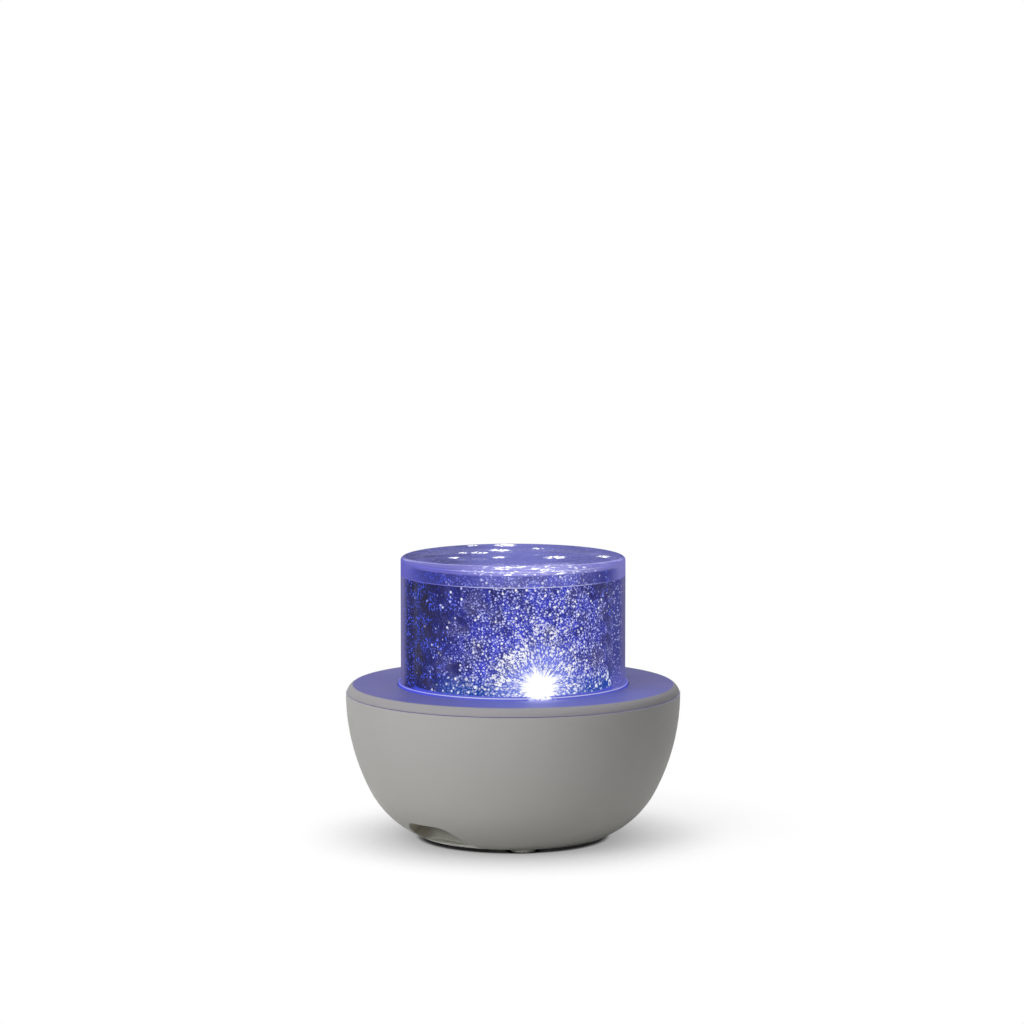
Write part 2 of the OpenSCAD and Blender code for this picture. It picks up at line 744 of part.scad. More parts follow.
// The pocket for a foot, the well for the screw's head and the screw's hole
module screw_well() {
    translate([0, 0, under_z - cut]) cylinder(r = foot_r + slip_gap, h = foot_pocket + cut);
    translate([0, 0, under_z - cut]) cylinder(d = well_d, h = screw_seat_z - under_z + cut);
    translate([0, 0, screw_seat_z - cut])
        cylinder(d = case_screw_d + 2 * assembly_gap, h = pillar_web + 2 * cut);
}

// Wall behind the inlet that the plug's recess is sunk in
module inlet_boss() {
    wall_at = recess_at - shell_t;
    w = plug_recess_w + 2 * shell_t;
    translate([-w / 2, wall_at, usb_z - plug_recess_h / 2 - shell_t])
        cube([w, body_r - wall_at, plug_recess_h + 2 * shell_t]);
}

module board_posts() {
    for (x = [-1, 1], y = main_screw_y)
        translate([x * main_screw_x, y, under_z]) cylinder(d = board_post_d, h = main_z - under_z);
}

// Posts with pins that hold the battery holder
module holder_posts() {
    for (x = [-1, 1])
        translate([x * holder_post_x, -cell_front, under_z]) {
            cylinder(r = holder_post_r, h = holder_z - under_z);
            cylinder(r = holder_pin_r, h = holder_z + holder_t / 2 - under_z, $fn = 48);
        }
}

module top_cover() {
    color("#7d78b4")
    difference() {
        union() {
            rotate_extrude($fn = 180) {
                intersection() {
                    translate([well_r, seam_z + seam_gap]) square([skirt_r - well_r, seam_drop - seam_gap]);
                    union() {
                        square([deck_flat_r, deck_z]);
                        translate([shoulder_x, shoulder_z]) circle(r = shoulder_r, $fn = 180);
                    }
                }
                translate([lip_r - lip_t, seam_z - lip_h]) square([lip_t, lip_h + seam_gap + cut]);
            }
            for (a = boss_angles)
                polar(a, boss_at) translate([0, 0, chassis_top_z])
                    cylinder(d = boss_d, h = deck_low_z - chassis_top_z + cut);
        }
        translate([0, 0, deck_low_z]) mirror([0, 0, 1]) under_deck_space();
        for (a = boss_angles)
            polar(a, boss_at) translate([0, 0, chassis_top_z - cut])
                cylinder(d = small_screw_d + 2 * thread_gap, h = boss_grip + screw_room + cut, $fn = 48);
        for (a = button_angles)
            polar(a, button_at) translate([0, 0, deck_low_z - cut])
                cylinder(r = button_d / 2 + slip_gap, h = deck_t + 2 * cut);
    }
}

// The space under the deck plate that the skirt's square also fills
module under_deck_space() {
    difference() {
        rotate_extrude($fn = 180)
            translate([well_r + hole_rim_t, 0]) square([lip_r - lip_t - well_r - hole_rim_t, seam_drop]);
        for (a = boss_angles)
            polar(a, boss_at)
                translate([0, 0, -cut]) cylinder(d = boss_d, h = seam_drop + 2 * cut);
    }
}

module rubber_feet() {
    color("#8a8a88")
    for (a = foot_angles)
        polar(a, foot_circle_d / 2) {
            rotate_extrude($fn = 72) {
                square([foot_r - foot_edge_r, foot_h + foot_pocket]);
                translate([0, foot_edge_r]) square([foot_r, foot_h + foot_pocket - foot_edge_r]);
                translate([foot_r - foot_edge_r, foot_edge_r]) circle(r = foot_edge_r, $fn = 48);
            }
            translate([0, 0, foot_h]) cylinder(r = foot_plug_r, h = foot_pocket + foot_plug);
        }
}

module case_screws() {
    color("#b8bcc0")
    for (a = foot_angles)
        polar(a, foot_circle_d / 2) translate([0, 0, screw_seat_z])
            pan_screw(case_screw_d, case_screw_l, case_head_d, case_head_h);
}

// ---------- chassis ----------

module chassis_plate() {
    color("#d9d9d6")
    difference() {
        union() {
            translate([0, 0, chassis_low_z]) cylinder(r = chassis_r, h = chassis_t, $fn = 180);
            translate([0, 0, chassis_top_z - cut])
                cylinder(r = collar_r, h = deck_z - collar_gap - chassis_top_z + cut, $fn = 180);
            translate([0, 0, chassis_top_z - cut])
                cylinder(r = hub_r + 1, h = seat_h + cut, $fn = 180);
            for (a = foot_angles)
                polar(a, foot_circle_d / 2) translate([0, 0, pillar_top_z])
                    cylinder(d = chassis_boss_d, h = chassis_low_z - pillar_top_z + cut);
            for (a = button_post_angles)
                polar(a, button_at) translate([0, 0, chassis_top_z - cut])
                    cylinder(d = board_post_d, h = button_board_z - chassis_top_z + cut);
            motor_places(motor_screw_at) translate([0, 0, chassis_top_z - cut])
                cylinder(d = motor_screw_boss_d, h = motor_grip + screw_room);
        }
        translate([0, 0, chassis_top_z])
            cylinder(r = collar_r - collar_t, h = chassis_drop, $fn = 180);
        translate([0, 0, chassis_low_z - cut]) cylinder(r = wire_hole_r, h = chassis_t + 2 * cut);
        for (a = foot_angles)
            polar(a, foot_circle_d / 2) translate([0, 0, pillar_top_z - cut])
                cylinder(d = case_screw_d + 2 * thread_gap, h = case_screw_l - pillar_web + screw_room);
        for (a = boss_angles)
            polar(a, boss_at) translate([0, 0, chassis_low_z - cut])
                cylinder(d = small_screw_d + 2 * assembly_gap, h = chassis_t + 2 * cut, $fn = 48);
        for (a = lamp_screw_angles)
            polar(a, lamp_screw_at) translate([0, 0, chassis_low_z - cut])
                cylinder(d = small_screw_d + 2 * assembly_gap, h = chassis_t + 2 * cut, $fn = 48);
        for (a = button_post_angles)
            polar(a, button_at) translate([0, 0, button_board_z - button_grip - screw_room])
                cylinder(d = small_screw_d + 2 * thread_gap, h = button_grip + screw_room + cut, $fn = 48);
        polar(motor_turn, shaft_at) translate([0, 0, chassis_low_z - cut])
            cylinder(r = motor_boss_d / 2 + motor_boss_gap, h = chassis_t + 2 * cut);
        motor_places(motor_screw_at) translate([0, 0, chassis_low_z - cut])
            cylinder(d = small_screw_d + 2 * thread_gap, h = motor_screw_l - ear_t + screw_room, $fn = 48);
        polar(button_plug_at, boss_at) translate([0, 0, chassis_low_z - cut])
            cylinder(d = lead_d + 2, h = chassis_t + 2 * cut, $fn = 48);
    }
}

module chassis_screws() {
    color("#b8bcc0")
    for (a = boss_angles)
        polar(a, boss_at) translate([0, 0, chassis_low_z])
            pan_screw(small_screw_d, chassis_screw_l, small_head_d, small_head_h);
}

module thrust_washer() {
    color("#e8e8e4")
    translate([0, 0, washer_z]) tube(hub_r + 0.6, collar_r + slip_gap, washer_t, $fn = 180);
}

// ---------- turntable, films, cover ----------

module turntable() {
    guide_r = film_inner_r - slip_gap;
    groove_in = cover_inner_r - slip_gap;
    groove_out = cover_r + slip_gap;
    color("#3f4270")
    difference() {
        union() {
            translate([0, 0, turntable_low_z]) cylinder(r = turntable_r, h = turntable_t, $fn = 180);
            translate([0, 0, hub_low_z])
                cylinder(r = hub_r, h = turntable_low_z - hub_low_z + cut, $fn = 180);
            translate([0, 0, hub_low_z]) rotate(motor_turn + 180 / ring_teeth)
                linear_extrude(gear_w) spur_outline(ring_teeth);
            translate([0, 0, deck_z - cut]) cylinder(r = film_r + 0.8, h = film_seat_h + cut, $fn = 180);
            translate([0, 0, deck_z - cut]) cylinder(r = guide_r, h = film_guide_h + cut, $fn = 180);
        }
        translate([0, 0, deck_z]) cylinder(r = guide_r - film_guide_t, h = film_guide_h + cut, $fn = 180);
        translate([0, 0, deck_z - groove_depth]) tube(groove_out, groove_in, groove_depth + cut, $fn = 180);
        translate([0, 0, hub_low_z - cut])
            cylinder(r = collar_r + running_gap, h = deck_z - hub_low_z + 2 * cut, $fn = 180);
    }
}

module film_roll() {
    color("#23265c")
    translate([0, 0, film_low_z]) tube(film_r, film_inner_r, film_disc_z - film_low_z, $fn = 180);
}

module film_disc() {
    color("#2a2e70")
    translate([0, 0, film_disc_z]) cylinder(r = film_r, h = film_t, $fn = 180);
}

module clear_cover() {
    color("#9aa0e8", 0.5)
    rotate_extrude($fn = 180) {
        translate([cover_inner_r, deck_z - spigot_h]) square([cover_t, joint_z - deck_z + spigot_h]);
        translate([cover_inner_r, deck_z]) square([flange_r - cover_inner_r, flange_t]);
        translate([cover_inner_r, joint_z - cut]) square([lap_t, lap_h + cut]);
        difference() {
            translate([cover_r - cut, deck_z + flange_t - cut]) square([flare_r + cut, flare_r + cut]);
            translate([cover_r + flare_r, deck_z + flange_t + flare_r]) circle(r = flare_r, $fn = 96);
        }
    }
}

module clear_lid() {
    color("#a4a8f0", 0.5)
    rotate_extrude($fn = 180) {
        translate([0, lid_low_z]) square([cover_r - lid_edge_r, lid_top_t]);
        translate([cover_inner_r, lid_low_z - cut]) square([cover_t, lid_top_t - lid_edge_r + cut]);
        intersection() {
            translate([cover_r - lid_edge_r, lid_top_z - lid_edge_r]) circle(r = lid_edge_r, $fn = 96);
            translate([cover_r - 2 * lid_edge_r, lid_low_z]) square([3 * lid_edge_r, lid_top_t]);
        }
        translate([cover_inner_r, joint_z + lap_h + slip_gap])
            square([cover_t, lid_low_z - joint_z - lap_h - slip_gap]);
        translate([lap_r + slip_gap, joint_z]) square([cover_r - lap_r - slip_gap, lap_h + 2 * slip_gap]);
    }
}

// ---------- drive ----------

// Puts its children on the motor's can axis, with the shaft towards -x of the rim
module motor_place() {
    rotate(motor_turn) translate([shaft_at - shaft_offset, 0, 0]) children();
}

// Puts its children on both screw holes of the motor
module motor_places(r) {
    for (side = [-1, 1])
        motor_place() translate([0, side * r, 0]) children();
}

module gear_motor() {
    color("#c3c7cb")
    difference() {
        union() {
            motor_place() translate([0, 0, chassis_low_z - motor_h])
                cylinder(d = motor_d, h = motor_h, $fn = 120);
            motor_place() translate([0, 0, chassis_low_z - ear_t]) linear_extrude(ear_t) {
                square([2 * ear_r, ear_span], center = true);
                for (side = [-1, 1])
                    translate([0, side * ear_span / 2]) circle(r = ear_r, $fn = 60);
            }
            polar(motor_turn, shaft_at) translate([0, 0, chassis_low_z - cut])
                cylinder(d = motor_boss_d, h = motor_boss_h + cut);
            motor_place() translate([-lead_block[0] / 2, -motor_d / 2 - lead_block_out, lead_block_z])
                cube(lead_block);
        }
        polar(motor_turn, shaft_at) translate([0, 0, shaft_low_z - 0.5])
            cylinder(r = shaft_d / 2 + running_gap, h = motor_h);
        motor_places(motor_screw_at) translate([0, 0, chassis_low_z - ear_t - cut])
            cylinder(d = small_screw_d + 2 * assembly_gap, h = ear_t + 2 * cut, $fn = 48);
    }
}

module motor_screws() {
    color("#b8bcc0")
    motor_places(motor_screw_at) translate([0, 0, chassis_low_z - ear_t])
        pan_screw(small_screw_d, motor_screw_l, small_head_d, small_head_h);
}

// The shaft's round with one flat, larger by gap
module shaft_round(gap, h) {
    intersection() {
        cylinder(r = shaft_d / 2 + gap, h = h);
        translate([-shaft_d, -shaft_d, 0]) cube([1.5 * shaft_d - flat_depth + gap, 2 * shaft_d, h]);
    }
}

module motor_shaft() {
    color("#d0d3d6")
    polar(motor_turn, shaft_at) {
        translate([0, 0, shaft_low_z]) cylinder(d = shaft_d, h = pinion_z - pinion_hub_h - shaft_low_z);
        translate([0, 0, pinion_z - pinion_hub_h])
            shaft_round(0, shaft_top_z - pinion_z + pinion_hub_h);
    }
}

module drive_pinion() {
    color("#efe9d8")
    polar(motor_turn, shaft_at) difference() {
        union() {
            translate([0, 0, pinion_z]) rotate(180) linear_extrude(pinion_w) spur_outline(pinion_teeth);
            translate([0, 0, pinion_z - pinion_hub_h + cut]) cylinder(r = pinion_hub_r, h = pinion_hub_h);
        }
        translate([0, 0, pinion_z - pinion_hub_h]) shaft_round(thread_gap, pinion_w + pinion_hub_h + cut);
    }
}

// ---------- lamp ----------

module lamp_post() {
    color("#f0f0ee")
    difference() {
        translate([0, 0, chassis_top_z]) cylinder(r = post_r, h = lamp_top_z - chassis_top_z, $fn = 180);
        translate([0, 0, lamp_board_z])
            cylinder(r = lamp_board_r + slip_gap, h = lamp_board_t + cut, $fn = 180);
        translate([0, 0, chassis_top_z + post_floor_t])
            cylinder(r = post_r - post_t, h = lamp_board_z - chassis_top_z, $fn = 180);
        translate([0, 0, chassis_top_z - cut]) cylinder(r = wire_hole_r, h = post_floor_t + 2 * cut);
        for (a = lamp_screw_angles)
            polar(a, lamp_screw_at) translate([0, 0, chassis_top_z - cut])
                cylinder(d = small_screw_d + 2 * thread_gap, h = post_floor_t + 2 * cut, $fn = 48);
    }
}

module lamp_screws() {
    color("#b8bcc0")
    for (a = lamp_screw_angles)
        polar(a, lamp_screw_at) translate([0, 0, chassis_low_z])
            pan_screw(small_screw_d, lamp_screw_l, small_head_d, small_head_h);
}

module led_board() {
    color("#f4f4f2")
    translate([0, 0, lamp_board_z]) cylinder(r = lamp_board_r, h = lamp_board_t, $fn = 180);
}

module led_emitters() {
    color("#dfe6ff")
    for (i = [0:lamp_count - 1])
        polar(lamp_turn + i * 360 / lamp_count, lamp_at) translate([0, 0, lamp_top_z]) {
            translate([-lamp_side / 2, -lamp_side / 2, 0]) cube([lamp_side, lamp_side, lamp_h]);
            translate([0, 0, lamp_h - cut]) intersection() {
                sphere(r = lamp_dome_r + cut, $fn = 48);
                cylinder(r = 2 * lamp_dome_r, h = 2 * lamp_dome_r);
            }
        }
}

// ---------- buttons ----------

module button_cap(i) {
    polar(button_angles[i], button_at) {
        rotate_extrude($fn = 96) {
            translate([0, flange_top_z]) square([button_d / 2, deck_t + button_rise - button_edge_r]);
            translate([0, flange_top_z])
                square([button_d / 2 - button_edge_r, deck_t + button_rise]);
            translate([button_d / 2 - button_edge_r, deck_z + button_rise - button_edge_r])
                circle(r = button_edge_r, $fn = 48);
        }
        translate([0, 0, flange_top_z - button_flange_t])
            cylinder(d = button_flange_d, h = button_flange_t);
        translate([0, 0, peg_low_z]) cylinder(d = plunger_d, h = button_peg_h + cut);
    }
}
module power_button() color("#8f8dc0") button_cap(0);
module colour_button() color("#8f8dc0") button_cap(1);
module spin_button() color("#8f8dc0") button_cap(2);

module switch_plunger(i) {
    polar(button_angles[i], button_at)
        translate([0, 0, switch_top_z - plunger_in]) cylinder(d = plunger_d, h = plunger_in + plunger_rise);
}
module power_plunger() color("#30302f") switch_plunger(0);
module colour_plunger() color("#30302f") switch_plunger(1);
module spin_plunger() color("#30302f") switch_plunger(2);

module switch_bodies() {
    color("#4a4a4c")
    for (a = button_angles)
        polar(a, button_at) difference() {
            translate([-switch_side / 2, -switch_side / 2, switch_top_z - switch_h])
                cube([switch_side, switch_side, switch_h]);
            translate([0, 0, switch_top_z - plunger_hole])
                cylinder(r = plunger_d / 2 + running_gap, h = plunger_hole + cut);
        }
}

module button_board() {
    ring_r = button_at;
    half = button_board_w / 2;
    color("#2f6b45")
    translate([0, 0, button_board_z]) difference() {
        linear_extrude(board_t) {
            intersection() {
                difference() {
                    circle(r = ring_r + half, $fn = 180);
                    circle(r = ring_r - half, $fn = 180);
                }
                polygon([[0, 0],
                    for (a = [90 - board_reach, 90, 90 + board_reach]) body_d * [cos(a), sin(a)]]);
            }
        }
        for (a = button_post_angles)
            polar(a, ring_r) translate([0, 0, -cut])
                cylinder(d = small_screw_d + 2 * assembly_gap, h = board_t + 2 * cut, $fn = 48);
    }
}

module button_screws() {
    color("#b8bcc0")
    for (a = button_post_angles)
        polar(a, button_at) translate([0, 0, button_board_z + board_t])
            pan_screw_down(small_screw_d, button_screw_l, small_head_d, small_head_h);
}

// ---------- electronics ----------

module main_board() {
    color("#2f6b45")
    difference() {
        union() {
            translate([-main_half, main_front, main_z]) cube([main_w, main_l, board_t]);
            translate([-tongue_w / 2, main_rear - cut, main_z]) cube([tongue_w, tongue_l + cut, board_t]);
        }
        for (x = [-1, 1], y = main_screw_y)
            translate([x * main_screw_x, y, main_z - cut])
                cylinder(d = small_screw_d + 2 * assembly_gap, h = board_t + 2 * cut, $fn = 48);
    }
}

module board_screws() {
    color("#b8bcc0")
    for (x = [-1, 1], y = main_screw_y)
        translate([x * main_screw_x, y, main_top_z])
            pan_screw_down(small_screw_d, board_screw_l, small_head_d, small_head_h);
}

module board_parts() {
    color("#2b2b2d") {
        translate([-chip_size[0] / 2, parts_y, main_top_z]) cube(chip_size);
        translate([main_screw_x - coil_size[0] - 3, parts_y, main_top_z]) cube(coil_size);
        for (i = [0, 1])
            translate([-main_screw_x + 1 + i * (can_d + 1), parts_y + can_d / 2, main_top_z])
                cylinder(d = can_d, h = can_h, $fn = 60);
    }
}

module wire_plugs() {
    color("#f2efe4") {
        for (x = plug_x)
            translate([x - plug_size[0] / 2, plug_y - plug_size[1] / 2, main_top_z]) cube(plug_size);
        polar(button_plug_at, button_at)
            translate([-button_plug_size[0] / 2, -button_plug_size[1] / 2, button_board_z + board_t])
                cube(button_plug_size);
    }
}

module usb_socket() {
    color("#c9ccd0")
    at_inlet(usb_mouth - usb_l) {
        difference() {
            rounded_plate(usb_w, usb_h, usb_l, usb_h / 2 - 0.02);
            translate([0, 0, socket_floor])
                rounded_plate(usb_w - 2 * usb_t, usb_h - 2 * usb_t, usb_l, usb_h / 2 - usb_t - 0.02);
        }
        translate([-tongue_size[0] / 2, -tongue_size[1] / 2, tongue_root])
            cube([tongue_size[0], tongue_size[1], usb_l - 2 * tongue_root]);
    }
}

module battery_holder() {
    color("#3a3a3d")
    translate([0, -cell_front, holder_z]) difference() {
        union() {
            translate([-holder_l / 2, -holder_w / 2, 0]) cube([holder_l, holder_w, holder_t]);
            for (side = [-1, 1]) {
                translate([side * (holder_l - holder_t) / 2 - holder_t / 2, -holder_w / 2, 0])
                    cube([holder_t, holder_w, holder_end_h]);
                translate([-cell_l / 3, side * (holder_w - cradle_t) / 2 - cradle_t / 2, 0])
                    cube([2 * cell_l / 3, cradle_t, cradle_h]);
            }
        }
        translate([0, 0, cell_z - holder_z]) rotate([0, 90, 0])
            cylinder(d = cell_d + 2 * assembly_gap, h = holder_l - 2 * holder_t, center = true, $fn = 120);
        for (x = [-1, 1])
            translate([x * holder_post_x, 0, -cut])
                cylinder(r = holder_pin_r + slip_gap, h = holder_t + 2 * cut, $fn = 48);
    }
}

module battery_cell() {
    color("#3f6fae")
    translate([-cell_l / 2, -cell_front, cell_z]) rotate([0, 90, 0]) {
        cylinder(d = cell_d, h = cell_l - cell_nub_h, $fn = 120);
        cylinder(d = cell_nub_d, h = cell_l, $fn = 60);
    }
}

// A flat contact at each end, with a nub that presses on the cell
module battery_contacts() {
    wall_x = holder_l / 2 - holder_t;
    color("#d8d2b0")
    for (side = [-1, 1])
        translate([0, -cell_front, cell_z]) {
            translate([side * (wall_x - contact_t / 2), 0, 0])
                cube([contact_t, contact_size[0], contact_size[1]], center = true);
            translate([side > 0 ? cell_l / 2 : -wall_x, 0, 0]) rotate([0, 90, 0])
                cylinder(d = contact_nub_d, h = wall_x - cell_l / 2, $fn = 60);
        }
}

// ---------- inner leads ----------

module lamp_lead() color("#d8d8d8") lead(lamp_lead_path);
module motor_lead() color("#c85a4a") lead(motor_lead_path);
module button_lead() color("#d8d8d8") lead(button_lead_path);
module battery_lead() color("#c83c32") lead(battery_lead_path);

bowl_shell();
top_cover();
rubber_feet();
case_screws();
chassis_plate();
chassis_screws();
thrust_washer();
turntable();
film_roll();
film_disc();
clear_cover();
clear_lid();
gear_motor();
motor_screws();
motor_shaft();
drive_pinion();
lamp_post();
lamp_screws();
led_board();
led_emitters();
power_button();
colour_button();
spin_button();
power_plunger();
colour_plunger();
spin_plunger();
switch_bodies();
button_board();
button_screws();
main_board();
board_screws();
board_parts();
wire_plugs();
usb_socket();
battery_holder();
battery_cell();
battery_contacts();
lamp_lead();
motor_lead();
button_lead();
battery_lead();
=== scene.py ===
"""Star night light projector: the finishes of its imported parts, the glow of its lamp, and a plain studio.

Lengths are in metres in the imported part's own frame: +Z is up and the front looks towards -Y.
"""
import math

import bmesh
import bpy
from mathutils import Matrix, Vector


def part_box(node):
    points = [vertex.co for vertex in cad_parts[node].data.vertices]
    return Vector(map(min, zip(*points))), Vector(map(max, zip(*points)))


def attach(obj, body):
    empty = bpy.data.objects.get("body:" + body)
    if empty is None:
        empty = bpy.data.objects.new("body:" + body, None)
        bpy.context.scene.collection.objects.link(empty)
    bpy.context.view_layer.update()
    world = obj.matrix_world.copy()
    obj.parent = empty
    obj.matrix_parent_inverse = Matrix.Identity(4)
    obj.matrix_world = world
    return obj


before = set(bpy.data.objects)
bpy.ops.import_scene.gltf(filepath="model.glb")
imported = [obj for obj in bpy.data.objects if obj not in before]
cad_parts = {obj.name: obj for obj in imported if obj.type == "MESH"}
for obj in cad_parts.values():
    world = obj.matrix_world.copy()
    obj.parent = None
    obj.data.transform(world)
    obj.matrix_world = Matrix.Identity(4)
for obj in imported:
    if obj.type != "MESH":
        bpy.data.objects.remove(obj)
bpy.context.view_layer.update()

MM = 0.001
WHITE = (1.0, 1.0, 1.0, 1.0)

# Node settings that repeat: a step with soft ends, and a blend of two colours. A step over noise mostly runs
# from 0.3 to 0.7, because noise seldom leaves that range
SMOOTH = {"interpolation_type": "SMOOTHSTEP"}
COLOURS = {"data_type": "RGBA"}


# ---------- small helpers ----------

def linear(hex_colour, strength=1.0):
    """An sRGB hex colour as linear RGBA, scaled by strength."""
    shares = [int(hex_colour[i:i + 2], 16) / 255 for i in (1, 3, 5)]
    values = [s / 12.92 if s <= 0.04045 else ((s + 0.055) / 1.055) ** 2.4 for s in shares]
    return tuple(strength * v for v in values) + (1.0,)


def add(tree, kind, inputs=(), **settings):
    """Adds a node with its settings and inputs, and returns it.

    The inputs are a dictionary by name, or a list for the sockets in use, in their order. Each is a value,
    another node's output, or another node, which stands for its first output in use.
    """
    node = tree.nodes.new("ShaderNode" + kind)
    for name, value in settings.items():
        setattr(node, name, value)
    if isinstance(inputs, dict):
        pairs = [(node.inputs[name], value) for name, value in inputs.items()]
    else:
        pairs = zip([socket for socket in node.inputs if socket.enabled], inputs)
    for socket, value in pairs:
        if isinstance(value, bpy.types.Node):
            value = next(output for output in value.outputs if output.enabled)
        if isinstance(value, bpy.types.NodeSocket):
            tree.links.new(value, socket)
        else:
            socket.default_value = value
    return node


def new_material(name):
    """An empty material, its node tree, and the position in the part's frame."""
    material = bpy.data.materials.new(name)
    material.use_nodes = True
    tree = material.node_tree
    tree.nodes.clear()
    return material, tree, add(tree, "TexCoord").outputs["Object"]


def in_room(tree):
    """The position in the room: the lamp's light stays where it is when a piece turns or lifts."""
    return add(tree, "NewGeometry").outputs["Position"]


def lumps(size_mm):
    """The scale of a pattern whose lumps or cells are size_mm across."""
    return 1 / (size_mm * MM)


def overlap(tree, *masks):
    """The product of the masks: full only where all of them are."""
    product = masks[0]
    for mask in masks[1:]:
        product = add(tree, "Math", [product, mask], operation="MULTIPLY")
    return product


def largest(tree, *values):
    """The largest of some numbers."""
    top = values[0]
    for value in values[1:]:
        top = add(tree, "Math", [top, value], operation="MAXIMUM")
    return top


def layered(tree, colour, layers):
    """The colour under some layers: each is its mask, for how much it hides, and its own colour."""
    for mask, paint in layers:
        colour = add(tree, "Mix", [mask, colour, paint], **COLOURS)
    return colour


def band(tree, value, middle, half, soft):
    """1 within half of the middle, 0 further than soft beyond that."""
    offset = add(tree, "Math", [value, middle], operation="SUBTRACT")
    distance = add(tree, "Math", [offset], operation="ABSOLUTE")
    return add(tree, "MapRange", [distance, half + soft, half], **SMOOTH)


def from_axis(tree, place):
    """How far the place is from the part's upright axis."""
    flat = add(tree, "VectorMath", [place, (1.0, 1.0, 0.0)], operation="MULTIPLY")
    return add(tree, "VectorMath", [flat], operation="LENGTH")


def seen_rays(tree):
    """1 for rays of the camera, and those it sees in gloss and through clear walls, else 0."""
    path = add(tree, "LightPath").outputs
    bounced = add(tree, "Math", [path["Is Glossy Ray"], path["Is Transmission Ray"]], operation="ADD")
    return add(tree, "Math", [path["Is Camera Ray"], bounced], operation="ADD", use_clamp=True)


# ---------- the part's own sizes, read from the frame ----------

bowl_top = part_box("bowl_shell")[1].z
deck_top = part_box("top_cover")[1].z
deck_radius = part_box("top_cover")[1].x
film_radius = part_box("film_roll")[1].x
film_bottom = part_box("film_roll")[0].z
lamp_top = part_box("led_emitters")[1].z

# The clear cover's foot flange lies on the deck
FLANGE_THICKNESS = 0.9 * MM
flange_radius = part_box("clear_cover")[1].x
flange_top = deck_top + FLANGE_THICKNESS

# The lid is a slab with a rim that hangs down to the joint, and a gap lies between its slab and the disc
DISC_GAP = 0.4 * MM
cover_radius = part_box("clear_lid")[1].x
joint_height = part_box("clear_lid")[0].z
lid_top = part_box("clear_lid")[1].z
slab_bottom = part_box("film_disc")[1].z + DISC_GAP

# The lamps stand on a circle round the post, and the one that is lit is this far round from the right
LAMP_CIRCLE = 11.5 * MM
LIT_TURN = math.radians(-30)
LIT_LAMP = Vector((LAMP_CIRCLE * math.cos(LIT_TURN), LAMP_CIRCLE * math.sin(LIT_TURN), lamp_top))
# The spot where it shows brightest on the film, and where the lid's rim catches its light
HOT_SPOT = Vector((9.0 * MM, -35.5 * MM, film_bottom + 2.9 * MM))
RIM_LIGHT = Vector((7.0 * MM, -cover_radius, slab_bottom + 1.0 * MM))


# ---------- plastics ----------

def plastic(name, colour, roughness, grain_mm=0.5, depth_mm=0.01, shade=0.9):
    """Plastic as moulded, drawn or coated: one colour, faintly clouded, with a fine grain in its gloss."""
    material, tree, place = new_material(name)
    cloud = add(tree, "TexNoise", {"Vector": place, "Scale": lumps(18.0), "Detail": 2.0})
    fine = add(tree, "TexNoise", {"Vector": place, "Scale": lumps(grain_mm), "Detail": 3.0})
    shader = add(tree, "BsdfPrincipled", {
        "Base Color": add(tree, "Mix", [cloud, linear(colour, shade), linear(colour)], **COLOURS),
        "Roughness": add(tree, "MapRange", [fine, 0.3, 0.7, roughness - 0.05, roughness + 0.05], **SMOOTH),
        "IOR": 1.53,
        "Normal": add(tree, "Bump", {"Height": fine, "Distance": depth_mm * MM}),
    })
    add(tree, "OutputMaterial", {"Surface": shader})
    return material


# Below 12 mm the bowl's outer radius at a height of h is near a + b h + c h h
BOWL_CURVE = (31.6 * MM, 2.15, -0.066 / MM)
# The finger scoop faces left of the front. Along it is to the right of someone who looks at it
SCOOP_TURN = math.radians(43)
SCOOP_OUTWARD = (-math.sin(SCOOP_TURN), -math.cos(SCOOP_TURN), 0.0)
SCOOP_ALONG = (math.cos(SCOOP_TURN), -math.sin(SCOOP_TURN), 0.0)


def scoop_masks(tree, place, height):
    """Where the scoop's hollow is, where its lower lip is, and how far along the scoop the place is."""
    start, slope, bend = BOWL_CURVE
    growth = add(tree, "Math", [height, bend, slope], operation="MULTIPLY_ADD")
    outer = add(tree, "Math", [height, growth, start], operation="MULTIPLY_ADD")
    depth = add(tree, "Math", [outer, from_axis(tree, place)], operation="SUBTRACT")
    outward = add(tree, "VectorMath", [place, SCOOP_OUTWARD], operation="DOT_PRODUCT")
    along = add(tree, "VectorMath", [place, SCOOP_ALONG], operation="DOT_PRODUCT")
    scoop_side = add(tree, "MapRange", [outward, 18 * MM, 20 * MM], **SMOOTH)
    sunk = add(tree, "MapRange", [depth, 0.35 * MM, 0.8 * MM], **SMOOTH)
    hollow = overlap(tree, sunk, scoop_side, band(tree, height, 6.4 * MM, 4.9 * MM, 0.2 * MM))
    low = add(tree, "MapRange", [height, 3.2 * MM, 2.4 * MM], **SMOOTH)
    lip = overlap(tree, scoop_side, low, band(tree, along, 2 * MM, 10 * MM, 3 * MM))
    return hollow, lip, along


